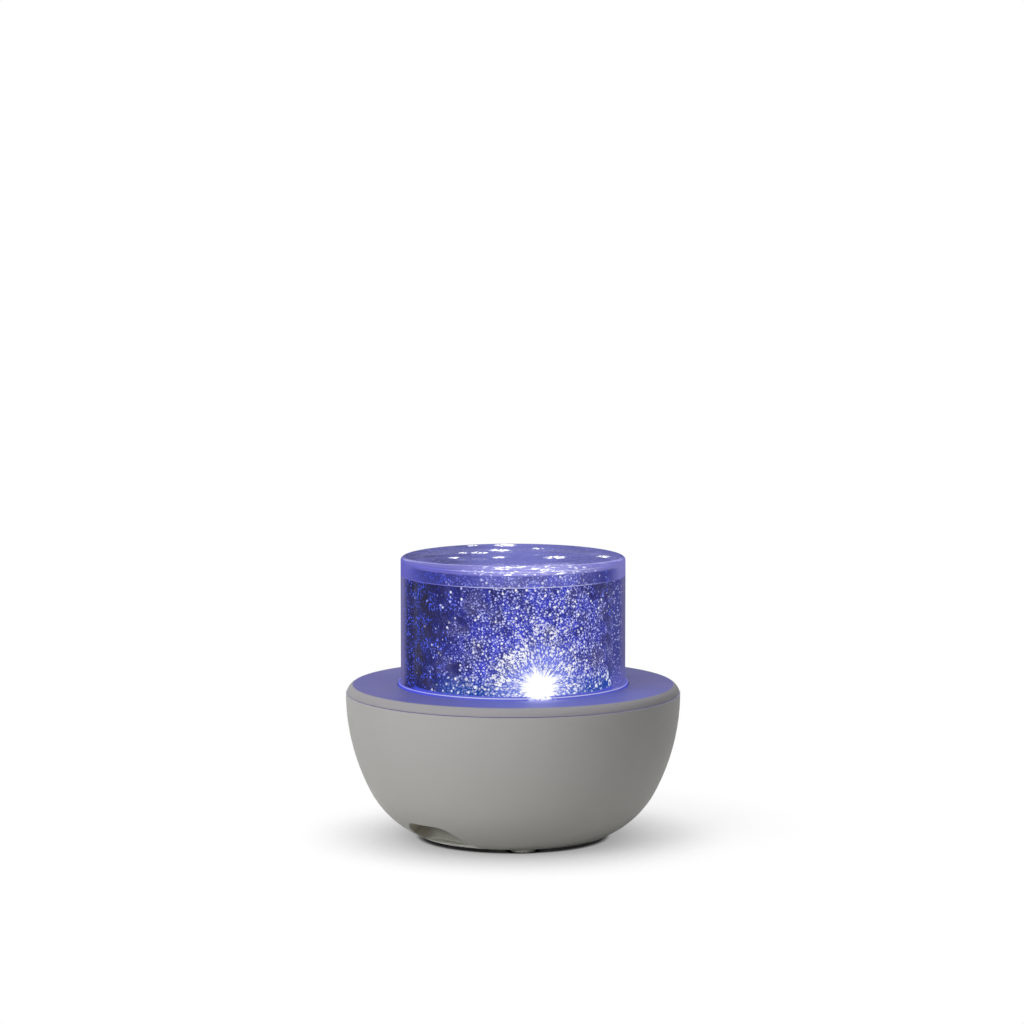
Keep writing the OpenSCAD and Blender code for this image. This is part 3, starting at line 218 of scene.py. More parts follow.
def bowl_abs():
    """Warm grey ABS, spark-eroded satin: it lights softly and shows no sharp highlight."""
    material, tree, place = new_material("bowl_abs_satin")
    cloud = add(tree, "TexNoise", {"Vector": place, "Scale": lumps(30.0), "Detail": 2.0})
    fine = add(tree, "TexNoise", {"Vector": place, "Scale": lumps(0.45), "Detail": 3.0})
    height = add(tree, "SeparateXYZ", [place]).outputs["Z"]
    hollow, lip, along = scoop_masks(tree, place, height)
    body_colour = add(tree, "Mix", [cloud, linear("#A6A5A3"), linear("#ADACAA")], **COLOURS)
    # Painted light and shade in the scoop: palest low down, darker under its ceiling and at its left end
    scoop_painted_shade = layered(tree, linear("#C0C0B8"), [
        (add(tree, "MapRange", [height, 4 * MM, 9 * MM], **SMOOTH), linear("#84847A")),
        (add(tree, "MapRange", [along, -5 * MM, -11 * MM], **SMOOTH), linear("#8E887C")),
    ])
    # A painted highlight on its lip stands in for the light that the floor throws back
    colour = layered(tree, linear("#A8A7A2"), [
        (add(tree, "MapRange", [height, 0.0, bowl_top], **SMOOTH), body_colour),
        (hollow, scoop_painted_shade),
        (lip, linear("#E6E6DE")),
    ])
    # A faint painted glow of the lamp's light along the seam under the deck
    painted_seam_glow = add(tree, "MapRange", [height, bowl_top - 0.05 * MM, bowl_top - 0.02 * MM], **SMOOTH)
    shader = add(tree, "BsdfPrincipled", {
        "Base Color": colour,
        "Roughness": add(tree, "MapRange", [fine, 0.3, 0.7, 0.52, 0.62], **SMOOTH),
        "IOR": 1.53,
        "Specular IOR Level": 0.2,
        "Normal": add(tree, "Bump", {"Height": fine, "Distance": 0.012 * MM}),
        "Emission Color": linear("#7A74B0"),
        "Emission Strength": overlap(tree, painted_seam_glow, 0.35),
    })
    add(tree, "OutputMaterial", {"Surface": shader})
    return material


def deck_abs():
    """The same ABS on the deck, with the lamp's blue light painted on the flat ring but not on its shoulder.
    """
    material, tree, place = new_material("deck_abs_lamp_lit")
    cloud = add(tree, "TexNoise", {"Vector": place, "Scale": lumps(22.0), "Detail": 2.0})
    fine = add(tree, "TexNoise", {"Vector": place, "Scale": lumps(0.45), "Detail": 3.0})
    near = add(tree, "VectorMath", [place, HOT_SPOT], operation="DISTANCE")
    normal = add(tree, "NewGeometry").outputs["Normal"]
    faces_up = add(tree, "MapRange", [add(tree, "SeparateXYZ", [normal]).outputs["Z"], 0.8, 1.0], **SMOOTH)
    # The painted light ends before the shoulder, a little sooner in front and behind than at the sides
    longer = add(tree, "VectorMath", [place, (1.0, 1.025, 1.0)], operation="MULTIPLY")
    ring = add(tree, "MapRange", [from_axis(tree, longer), deck_radius - 0.4 * MM, deck_radius - 2.8 * MM],
               **SMOOTH)
    on_top = overlap(tree, faces_up, ring)
    # The painted lamp light: bluer near the hot spot, palest close to it, and faintly clouded
    lit = layered(tree, linear("#5F5D9E"), [
        (add(tree, "MapRange", [near, 60 * MM, 12 * MM], **SMOOTH), linear("#666CBE")),
        (add(tree, "MapRange", [near, 13 * MM, 6 * MM, 0.0, 0.6], **SMOOTH), linear("#A9ABF4")),
        (add(tree, "MapRange", [cloud, 0.35, 0.75, 0.0, 0.35], **SMOOTH), linear("#7270A4")),
    ])
    painted_lamp_tint = add(tree, "VectorMath", [lit, 0.62], operation="SCALE")
    # The painted light goes into the base colour too. The shoulder is painted a darker grey than the bowl,
    # with a faint lilac cast of the lamp's light
    shader = add(tree, "BsdfPrincipled", {
        "Base Color": add(tree, "Mix", [on_top, linear("#989699"), painted_lamp_tint], **COLOURS),
        "Roughness": add(tree, "MapRange", [fine, 0.3, 0.7, 0.50, 0.60], **SMOOTH),
        "IOR": 1.53,
        "Specular IOR Level": 0.08,
        "Normal": add(tree, "Bump", {"Height": fine, "Distance": 0.012 * MM}),
        "Emission Color": lit,
        "Emission Strength": overlap(tree, on_top, 0.34),
    })
    add(tree, "OutputMaterial", {"Surface": shader})
    return material


def rubber():
    """Moulded rubber of the feet: matt, faintly dusty."""
    material, tree, place = new_material("foot_rubber")
    dust = add(tree, "TexNoise", {"Vector": place, "Scale": lumps(1.5), "Detail": 3.0})
    shader = add(tree, "BsdfPrincipled", {
        "Base Color": add(tree, "Mix", [dust, linear("#DEDDD4"), linear("#E8E7DE")], **COLOURS),
        "Roughness": add(tree, "MapRange", [dust, 0.3, 0.7, 0.75, 0.9], **SMOOTH),
        "IOR": 1.52,
        "Specular IOR Level": 0.3,
        "Normal": add(tree, "Bump", {"Height": dust, "Distance": 0.02 * MM}),
    })
    add(tree, "OutputMaterial", {"Surface": shader})
    return material


def turntable_abs():
    """ABS of the turntable, drowned in the lamp's blue inside the cover, which is painted into its colour and
    as a glow on its top.
    """
    material, tree, place = new_material("turntable_abs_lamp_lit")
    fine = add(tree, "TexNoise", {"Vector": place, "Scale": lumps(0.5), "Detail": 3.0})
    height = add(tree, "SeparateXYZ", [place]).outputs["Z"]
    top = add(tree, "MapRange", [height, deck_top - 1.5 * MM, deck_top - 0.5 * MM], **SMOOTH)
    distance = add(tree, "VectorMath", [in_room(tree), HOT_SPOT], operation="DISTANCE")
    near = add(tree, "MapRange", [distance, 50 * MM, 10 * MM], **SMOOTH)
    shader = add(tree, "BsdfPrincipled", {
        "Base Color": add(tree, "Mix", [fine, linear("#3A3F70"), linear("#454A80")], **COLOURS),
        "Roughness": add(tree, "MapRange", [fine, 0.3, 0.7, 0.4, 0.5], **SMOOTH),
        "IOR": 1.53,
        "Specular IOR Level": 0.3,
        "Normal": add(tree, "Bump", {"Height": fine, "Distance": 0.01 * MM}),
        "Emission Color": add(tree, "Mix", [near, linear("#2A3ED8"), linear("#6F76E6")], **COLOURS),
        "Emission Strength": overlap(tree, top, 0.6),
    })
    add(tree, "OutputMaterial", {"Surface": shader})
    return material


# ---------- metals ----------

def metal(name, colour, roughness, streak_mm, long_mm):
    """Plated or drawn metal: fine lines along X break its shine up."""
    material, tree, place = new_material(name)
    stretched = add(tree, "Mapping", {"Vector": place, "Scale": (streak_mm / long_mm, 1.0, 1.0)})
    streaks = add(tree, "TexNoise", {"Vector": stretched, "Scale": lumps(streak_mm), "Detail": 3.0})
    shader = add(tree, "BsdfPrincipled", {
        "Base Color": add(tree, "Mix", [streaks, linear(colour, 0.85), linear(colour)], **COLOURS),
        "Metallic": 1.0,
        "Roughness": add(tree, "MapRange", [streaks, 0.3, 0.7, roughness - 0.06, roughness + 0.08], **SMOOTH),
        "Normal": add(tree, "Bump", {"Height": streaks, "Distance": 0.004 * MM}),
    })
    add(tree, "OutputMaterial", {"Surface": shader})
    return material


# ---------- the films ----------

def dots(tree, place, cell_mm, dot_mm, share, seed):
    """Round clear dots up to dot_mm across: their mask, and a number from 0 to 1 for each.

    That share of the cells has a dot. The seed shifts and turns the pattern, so that no two lie alike.
    """
    shifted = add(tree, "VectorMath", [place, (seed * 0.37, seed * 0.61, 0.0)], operation="ADD")
    turned = add(tree, "VectorRotate", {"Vector": shifted, "Angle": 0.7 * seed}, rotation_type="Z_AXIS")
    cells = add(tree, "TexVoronoi", {"Vector": turned, "Scale": lumps(cell_mm)}, voronoi_dimensions="2D")
    chance = add(tree, "SeparateColor", [cells.outputs["Color"]]).outputs
    # The smallest dot is 0.6 of the widest, and every edge fades over 1 / 2.4 of the widest radius
    widest = 0.5 * dot_mm / cell_mm
    size = add(tree, "MapRange", [chance["Green"], 0.0, 1.0, 0.6 * widest, widest], **SMOOTH)
    inside = add(tree, "Math", [size, cells.outputs["Distance"]], operation="SUBTRACT")
    soft = add(tree, "Math", [inside, 2.4 / widest], operation="MULTIPLY", use_clamp=True)
    kept = add(tree, "Math", [chance["Red"], share], operation="LESS_THAN")
    return overlap(tree, soft, kept), chance["Blue"]


def upright_sheet(tree, place, radius, squeeze=1.0):
    """Arc length on a round wall, and it with the height. squeeze below 1 widens what is drawn on it."""
    parts = add(tree, "SeparateXYZ", [place]).outputs
    forward = add(tree, "Math", [parts["Y"], -1.0], operation="MULTIPLY")
    turn = add(tree, "Math", [parts["X"], forward], operation="ARCTAN2")
    along = add(tree, "Math", [turn, radius * squeeze], operation="MULTIPLY")
    return along, add(tree, "CombineXYZ", {"X": along, "Y": parts["Z"]})


def starburst(tree, solid_mm, reach_mm):
    """The glare round the hot spot: solid in the middle, with ragged beams out to its reach."""
    room = in_room(tree)
    offset = add(tree, "VectorMath", [room, HOT_SPOT], operation="SUBTRACT")
    aim = add(tree, "VectorMath", [offset], operation="NORMALIZE")
    beams = add(tree, "TexNoise", {"Vector": aim, "Scale": 6.5, "Detail": 3.0})
    reach = add(tree, "MapRange", [beams, 0.36, 0.68, 0.72, 1.4], **SMOOTH)
    distance = add(tree, "VectorMath", [room, HOT_SPOT], operation="DISTANCE")
    away = add(tree, "Math", [distance, reach], operation="DIVIDE")
    return add(tree, "MapRange", [away, reach_mm * MM, solid_mm * MM], **SMOOTH)


# The light reaches further up the film than along it, so heights count for less
SQUAT = Vector((1.0, 1.0, 0.65))


def film_light(tree, room):
    """The lamp's light on the film: squat and true distance from the hot spot, turn round it, and spokes."""
    squat_room = add(tree, "VectorMath", [room, SQUAT], operation="MULTIPLY")
    near = add(tree, "VectorMath", [squat_room, HOT_SPOT * SQUAT], operation="DISTANCE")
    near_spot = add(tree, "VectorMath", [room, HOT_SPOT], operation="DISTANCE")
    height = add(tree, "SeparateXYZ", [room]).outputs["Z"]
    along = upright_sheet(tree, room, film_radius)[0]
    spot_along = film_radius * math.atan2(HOT_SPOT.x, -HOT_SPOT.y)
    above = add(tree, "Math", [height, HOT_SPOT.z], operation="SUBTRACT")
    beside = add(tree, "Math", [along, spot_along], operation="SUBTRACT")
    turn = add(tree, "Math", [above, beside], operation="ARCTAN2")
    rays = add(tree, "TexNoise", {"W": turn, "Scale": 6.0, "Detail": 2.0}, noise_dimensions="1D")
    return near, near_spot, turn, add(tree, "MapRange", [rays, 0.35, 0.65, 0.6, 1.3], **SMOOTH)


def film_roll_print():
    """Polyester film printed dark blue, with thousands of clear dots that the lamp shines through.

    The lamp's light through it is painted as a glow: near the lamp the dots burn white on a blue haze, and
    far from it they are few and deep blue.
    """
    material, tree, place = new_material("printed_polyester_roll")
    room = in_room(tree)
    height = add(tree, "SeparateXYZ", [room]).outputs["Z"]
    sheet = upright_sheet(tree, place, film_radius)[1]
    near, near_spot, turn, spokes = film_light(tree, room)

    patches = add(tree, "TexNoise", {"Vector": sheet, "Scale": lumps(8.0), "Detail": 2.0})
    grit = add(tree, "TexNoise", {"Vector": sheet, "Scale": lumps(2.4), "Detail": 2.0})
    stretched = add(tree, "Mapping", {"Vector": sheet, "Scale": (1.0, 0.18, 1.0)})
    streaks = add(tree, "TexNoise", {"Vector": stretched, "Scale": lumps(1.6), "Detail": 1.0})

    # The painted haze of lamp light is patchy, and a painted strip along the film's foot is bluer where the
    # lamp is near
    flood = add(tree, "MapRange", [near, 50 * MM, 12 * MM], **SMOOTH)
    patchy = add(tree, "MapRange", [patches, 0.32, 0.6, 0.42, 1.05], **SMOOTH)
    level = add(tree, "Math", [flood, patchy], operation="MULTIPLY", use_clamp=True)
    foot = add(tree, "MapRange", [height, film_bottom + 9 * MM, film_bottom + 1 * MM], **SMOOTH)
    strip = overlap(tree, foot, add(tree, "MapRange", [near_spot, 42 * MM, 30 * MM], **SMOOTH))

    # Further out the painted haze breaks into dim puffs
    puffs = add(tree, "TexNoise", {"Vector": sheet, "Scale": lumps(9.0), "Detail": 2.0})
    dim_glow_puffs = overlap(tree, add(tree, "MapRange", [puffs, 0.46, 0.6, 0.0, 0.75], **SMOOTH),
                    add(tree, "MapRange", [near, 50 * MM, 32 * MM], **SMOOTH),
                    add(tree, "MapRange", [near, 16 * MM, 26 * MM], **SMOOTH))
    streaky = add(tree, "MapRange", [streaks, 0.3, 0.7, 0.55, 1.0], **SMOOTH)
    haze = add(tree, "Mix", [grit, linear("#242AAE"), linear("#5056E4")], **COLOURS)
    ground = layered(tree, linear("#221D2A"), [
        (add(tree, "MapRange", [patches, 0.42, 0.55], **SMOOTH), linear("#1B1B40")),
        (overlap(tree, level, streaky), haze),
        (dim_glow_puffs, linear("#464476")),
        (overlap(tree, strip, 0.85), linear("#1246A2")),
    ])

    dust, dust_chance = dots(tree, sheet, cell_mm=0.62, dot_mm=0.60, share=0.72, seed=1)
    fine, fine_chance = dots(tree, sheet, cell_mm=0.95, dot_mm=0.88, share=0.72, seed=2)
    stars, star_chance = dots(tree, sheet, cell_mm=1.7, dot_mm=1.15, share=0.34, seed=3)
    blobs, blob_chance = dots(tree, sheet, cell_mm=1.7, dot_mm=1.8, share=0.7, seed=4)

    # Close to the hot spot the dots run together into short rays of painted glare
    fan = add(tree, "CombineXYZ", {
        "X": add(tree, "Math", [turn, 14 * MM], operation="MULTIPLY"),
        "Y": add(tree, "Math", [near_spot, 0.6], operation="MULTIPLY"),
    })
    rays, ray_chance = dots(tree, fan, cell_mm=0.95, dot_mm=0.85, share=0.85, seed=6)

    # Between the rays the dots crowd into white tufts of painted glare, drawn out away from the hot spot
    drawn_out = add(tree, "Mapping", {"Vector": fan, "Scale": (1.0, 0.6, 1.0)})
    wool = add(tree, "TexNoise", {"Vector": drawn_out, "Scale": lumps(3.2), "Detail": 1.0})
    tufts = overlap(tree, add(tree, "MapRange", [wool, 0.53, 0.60], **SMOOTH),
                    add(tree, "MapRange", [near_spot, 28 * MM, 15 * MM], **SMOOTH))

    # The dots are clear holes in the print; how bright and white they are is painted lamp light
    lit = overlap(tree, add(tree, "Math", [level, 0.04], operation="ADD"), spokes)
    dot_colour = layered(tree, linear("#465EFA"), [
        (add(tree, "MapRange", [lit, 0.04, 0.5], **SMOOTH), linear("#A6AAF6")),
        (add(tree, "MapRange", [near, 36 * MM, 14 * MM], **SMOOTH), linear("#DADEFC")),
    ])
    deep = add(tree, "MapRange", [lit, 0.05, 0.8], **SMOOTH)
    deep_colour = add(tree, "Mix", [deep, linear("#1E2DA6"), linear("#A3A9FF")], **COLOURS)
    star_lit = add(tree, "Math", [star_chance, lit], operation="ADD")
    star_colour = layered(tree, dot_colour, [
        (add(tree, "MapRange", [star_lit, 0.75, 1.2], **SMOOTH), linear("#F4F5FF")),
    ])

    # Away from the lamp the dots show in clusters only
    bunches = add(tree, "TexNoise", {"Vector": sheet, "Scale": lumps(5.0), "Detail": 2.0})
    clusters = add(tree, "MapRange", [bunches, 0.45, 0.56, 0.12, 1.0], **SMOOTH)
    crowd = overlap(tree, largest(tree, clusters, add(tree, "MapRange", [level, 0.15, 0.7], **SMOOTH)),
                    add(tree, "MapRange", [strip, 0.0, 1.0, 1.0, 0.5], **SMOOTH))
    dust_mask = overlap(tree, dust, add(tree, "MapRange", [dust_chance, 0.0, 1.0, 0.25, 1.0], **SMOOTH))
    fine_mask = overlap(tree, fine, add(tree, "MapRange", [fine_chance, 0.0, 0.6, 0.15, 1.0], **SMOOTH))
    star_mask = overlap(tree, stars, add(tree, "MapRange", [star_chance, 0.0, 0.6, 0.25, 1.0], **SMOOTH),
                        add(tree, "MapRange", [crowd, 0.1, 0.8, 0.4, 1.0], **SMOOTH))
    groups = add(tree, "TexNoise", {"Vector": sheet, "Scale": lumps(4.5), "Detail": 1.0})
    blob_mask = overlap(tree, blobs, add(tree, "MapRange", [strip, 0.1, 0.4], **SMOOTH),
                        add(tree, "MapRange", [groups, 0.42, 0.52], **SMOOTH),
                        add(tree, "MapRange", [blob_chance, 0.1, 0.5], **SMOOTH))
    ray_mask = overlap(tree, rays, add(tree, "MapRange", [near_spot, 22 * MM, 9 * MM], **SMOOTH),
                       add(tree, "MapRange", [ray_chance, 0.0, 0.5, 0.5, 1.0], **SMOOTH))
    # A painted halo and a painted starburst of glare round the hot spot
    halo = add(tree, "MapRange", [near_spot, 21 * MM, 5 * MM], **SMOOTH)
    core = starburst(tree, solid_mm=3.2, reach_mm=8.4)

    colour = layered(tree, ground, [
        (overlap(tree, dust_mask, crowd), deep_colour),
        (overlap(tree, fine_mask, crowd), dot_colour),
        (star_mask, star_colour),
        (blob_mask, linear("#EEF2FF")),
        (overlap(tree, halo, 0.6), linear("#94A1FC")),
        (overlap(tree, tufts, largest(tree, dust, fine, stars, rays)), linear("#F6F7FF")),
        (ray_mask, WHITE),
        (core, WHITE),
    ])
    shader = add(tree, "BsdfPrincipled", {
        "Base Color": linear("#101122"),
        "Roughness": add(tree, "MapRange", [grit, 0.3, 0.7, 0.28, 0.40], **SMOOTH),
        "IOR": 1.57,
        "Specular IOR Level": 0.03,
        "Emission Color": colour,
        "Emission Strength": add(tree, "Math", [core, 0.4, 1.0], operation="MULTIPLY_ADD"),
    })
    add(tree, "OutputMaterial", {"Surface": shader})
    return material


# Where the lamps shine through the film disc most: how far right, how far back and the radius, in mm
DISC_LIGHTS = [(-5, 19, 5.5), (-3, 34, 6.0), (-12, 11, 4.5), (-18, 10, 2.6), (-21, -4, 3.2), (-5, -3, 3.6),
               (9, 24, 3.2), (-15, 33, 3.0), (15, -3, 6.0), (32, -1, 4.2)]


def disc_picture(tree, place):
    """The look of the lit film disc: its colour, and how strongly the lamps shine through it."""
    room = in_room(tree)
    flat_room = add(tree, "VectorMath", [room, (1.0, 1.0, 0.0)], operation="MULTIPLY")
    across = add(tree, "SeparateXYZ", [room]).outputs["X"]
    off_middle = add(tree, "Math", [across], operation="ABSOLUTE")
    patches = add(tree, "TexNoise", {"Vector": place, "Scale": lumps(9.0), "Detail": 2.0})
    drawn_out = add(tree, "Mapping", {"Vector": place, "Scale": (0.85, 0.75, 1.0)})
    ragged = add(tree, "TexNoise", {"Vector": drawn_out, "Scale": lumps(1.3), "Detail": 2.0})
    pools = []
    for right, back, radius in DISC_LIGHTS:
        off = add(tree, "VectorMath", [flat_room, (right * MM, back * MM, 0.0)], operation="DISTANCE")
        pools.append(add(tree, "MapRange", [off, radius * MM, 0.2 * radius * MM], **SMOOTH))
    torn = add(tree, "MapRange", [ragged, 0.40, 0.62], **SMOOTH)
    glow = add(tree, "MapRange", [overlap(tree, largest(tree, *pools), torn), 0.1, 0.6], **SMOOTH)
    fine, fine_chance = dots(tree, drawn_out, cell_mm=1.2, dot_mm=1.0, share=0.5, seed=5)
    fine_mask = overlap(tree, fine, add(tree, "MapRange", [fine_chance, 0.0, 1.0, 0.05, 0.5], **SMOOTH))
    # Painted lamp light on the disc: paler to the right and across the middle, and white pools where the
    # lamps shine through
    colour = layered(tree, linear("#4E4E86"), [
        (add(tree, "MapRange", [across, -34 * MM, 12 * MM], **SMOOTH), linear("#5E5FA4")),
        (add(tree, "MapRange", [off_middle, 24 * MM, 4 * MM, 0.0, 0.6], **SMOOTH), linear("#7678CC")),
        (add(tree, "MapRange", [patches, 0.35, 0.7, 0.0, 0.5], **SMOOTH), linear("#7A7CC8")),
        (fine_mask, linear("#A6AAEC")),
        (glow, WHITE),
    ])
    return colour, glow


def film_disc_print():
    """The same film lying flat under the lid, where the lamps shine through it in painted patches of glow."""
    material, tree, place = new_material("printed_polyester_disc")
    colour, glow = disc_picture(tree, place)
    grit = add(tree, "TexNoise", {"Vector": place, "Scale": lumps(2.4), "Detail": 2.0})
    shader = add(tree, "BsdfPrincipled", {
        "Base Color": linear("#101122"),
        "Roughness": add(tree, "MapRange", [grit, 0.3, 0.7, 0.3, 0.42], **SMOOTH),
        "IOR": 1.57,
        "Specular IOR Level": 0.15,
        "Emission Color": colour,
        "Emission Strength": add(tree, "Math", [glow, 1.0], operation="ADD"),
    })
    add(tree, "OutputMaterial", {"Surface": shader})
    return material


# ---------- the clear pieces ----------

def clear_wall(tree, colour, veil, glow, waves):
    """Acrylic full of painted light, its colour also shown as a glow: veil is how much it hides, glow its
    extra shine, and waves vary its gloss.
    """
    shader = add(tree, "BsdfPrincipled", {
        "Base Color": add(tree, "VectorMath", [colour, 0.5], operation="SCALE"),
        "Roughness": add(tree, "MapRange", [waves, 0.3, 0.7, 0.06, 0.12], **SMOOTH),
        "IOR": 1.49,
        "Specular IOR Level": 0.0,
        "Coat Weight": 0.04,
        "Coat Roughness": 0.05,
        "Coat IOR": 1.49,
        "Emission Color": colour,
        "Emission Strength": add(tree, "Math", [glow, 0.55], operation="ADD"),
        "Alpha": veil,
    })
    add(tree, "OutputMaterial", {"Surface": shader})


def cover_acrylic():
    """Clear moulded acrylic: seen through head on, its outline and foot filled with painted blue lamp light.
    """
    material, tree, place = new_material("clear_acrylic_cover")
    height = add(tree, "SeparateXYZ", [place]).outputs["Z"]
    radius = from_axis(tree, place)
    room = in_room(tree)
    room_parts = add(tree, "SeparateXYZ", [room]).outputs
    side = add(tree, "MapRange", [room_parts["X"], -cover_radius, cover_radius], **SMOOTH)
    near = add(tree, "VectorMath", [room, HOT_SPOT], operation="DISTANCE")
    away = add(tree, "MapRange", [near, 30 * MM, 46 * MM], **SMOOTH)
    glance = add(tree, "LayerWeight", {"Blend": 0.5}).outputs["Facing"]
    waves = add(tree, "TexNoise", {"Vector": place, "Scale": lumps(14.0), "Detail": 2.0})
    spot = starburst(tree, solid_mm=3.4, reach_mm=7.4)

    # The wall fills towards its outline. The foot does all over, most of all away from the lamp
    outside = add(tree, "MapRange", [radius, cover_radius - 0.6 * MM, cover_radius - 0.3 * MM], **SMOOTH)
    film_behind = add(tree, "MapRange", [room_parts["Z"], slab_bottom + 1 * MM, slab_bottom - 1 * MM],
                      **SMOOTH)
    film_veil = overlap(tree, film_behind, add(tree, "MapRange", [glance, 0.49, 0.572, 0.0, 0.95], **SMOOTH))
    outline_veil = add(tree, "MapRange", [glance, 0.60, 0.85, 0.0, 0.7], **SMOOTH)
    wall_veil = overlap(tree, outside, largest(tree, film_veil, outline_veil))
    foot = add(tree, "MapRange", [height, flange_top + 0.3 * MM, flange_top - 0.1 * MM], **SMOOTH)
    foot_veil = overlap(tree, foot, add(tree, "MapRange", [away, 0.0, 1.0, 0.15, 0.6], **SMOOTH))
    flange_side = add(tree, "MapRange", [radius, flange_radius - 0.25 * MM, flange_radius - 0.05 * MM],
                      **SMOOTH)
    rim = overlap(tree, flange_side, band(tree, height, flange_top - 0.05 * MM, 0.15 * MM, 0.2 * MM))

    # A painted image of the film, as the wall bends it close up to the outline, with painted shade on the
    # left and painted light on the right
    sheet = upright_sheet(tree, place, cover_radius, squeeze=0.45)[1]
    specks, chance = dots(tree, sheet, cell_mm=0.75, dot_mm=0.72, share=0.72, seed=7)
    speck_mask = overlap(tree, specks, add(tree, "MapRange", [chance, 0.1, 0.7], **SMOOTH))
    speck_colour = add(tree, "Mix", [side, linear("#5262F6"), linear("#BDC0FC")], **COLOURS)
    painted_bent_film = layered(tree, linear("#201E40"), [
        (side, linear("#4C4FA2")),
        (add(tree, "MapRange", [waves, 0.35, 0.65, 0.0, 0.4], **SMOOTH), linear("#444688")),
        (speck_mask, speck_colour),
    ])
    outline_colour = add(tree, "Mix", [waves, linear("#6C699A"), linear("#726FAC")], **COLOURS)
    # Low on the right the wall takes a painted blue glow of the lamp
    low = add(tree, "MapRange", [height, deck_top + 12 * MM, deck_top + 1 * MM], **SMOOTH)
    wall_colour = layered(tree, outline_colour, [
        (film_behind, painted_bent_film),
        (add(tree, "MapRange", [glance, 0.64, 0.82], **SMOOTH), outline_colour),
        (overlap(tree, low, side, 0.7), linear("#7F80DC")),
    ])
    # The foot takes painted blue lamp light, its rim a painted bright line that is palest near the hot spot,
    # and a painted white glare lies on the cover by the hot spot
    by_lamp = add(tree, "MapRange", [near, 60 * MM, 15 * MM], **SMOOTH)
    rim_colour = add(tree, "Mix", [by_lamp, linear("#9A9CF4"), linear("#E4E5FF")], **COLOURS)
    foot_colour = layered(tree, linear("#6A6CC4"), [
        (away, linear("#5459DE")),
        (rim, rim_colour),
    ])
    colour = layered(tree, wall_colour, [
        (foot, foot_colour),
        (spot, WHITE),
    ])
    veil = largest(tree, wall_veil, foot_veil, overlap(tree, rim, 0.85), overlap(tree, spot, 0.5), 0.02)
    clear_wall(tree, colour, veil, largest(tree, spot, overlap(tree, foot, 0.1)), waves)
    return material


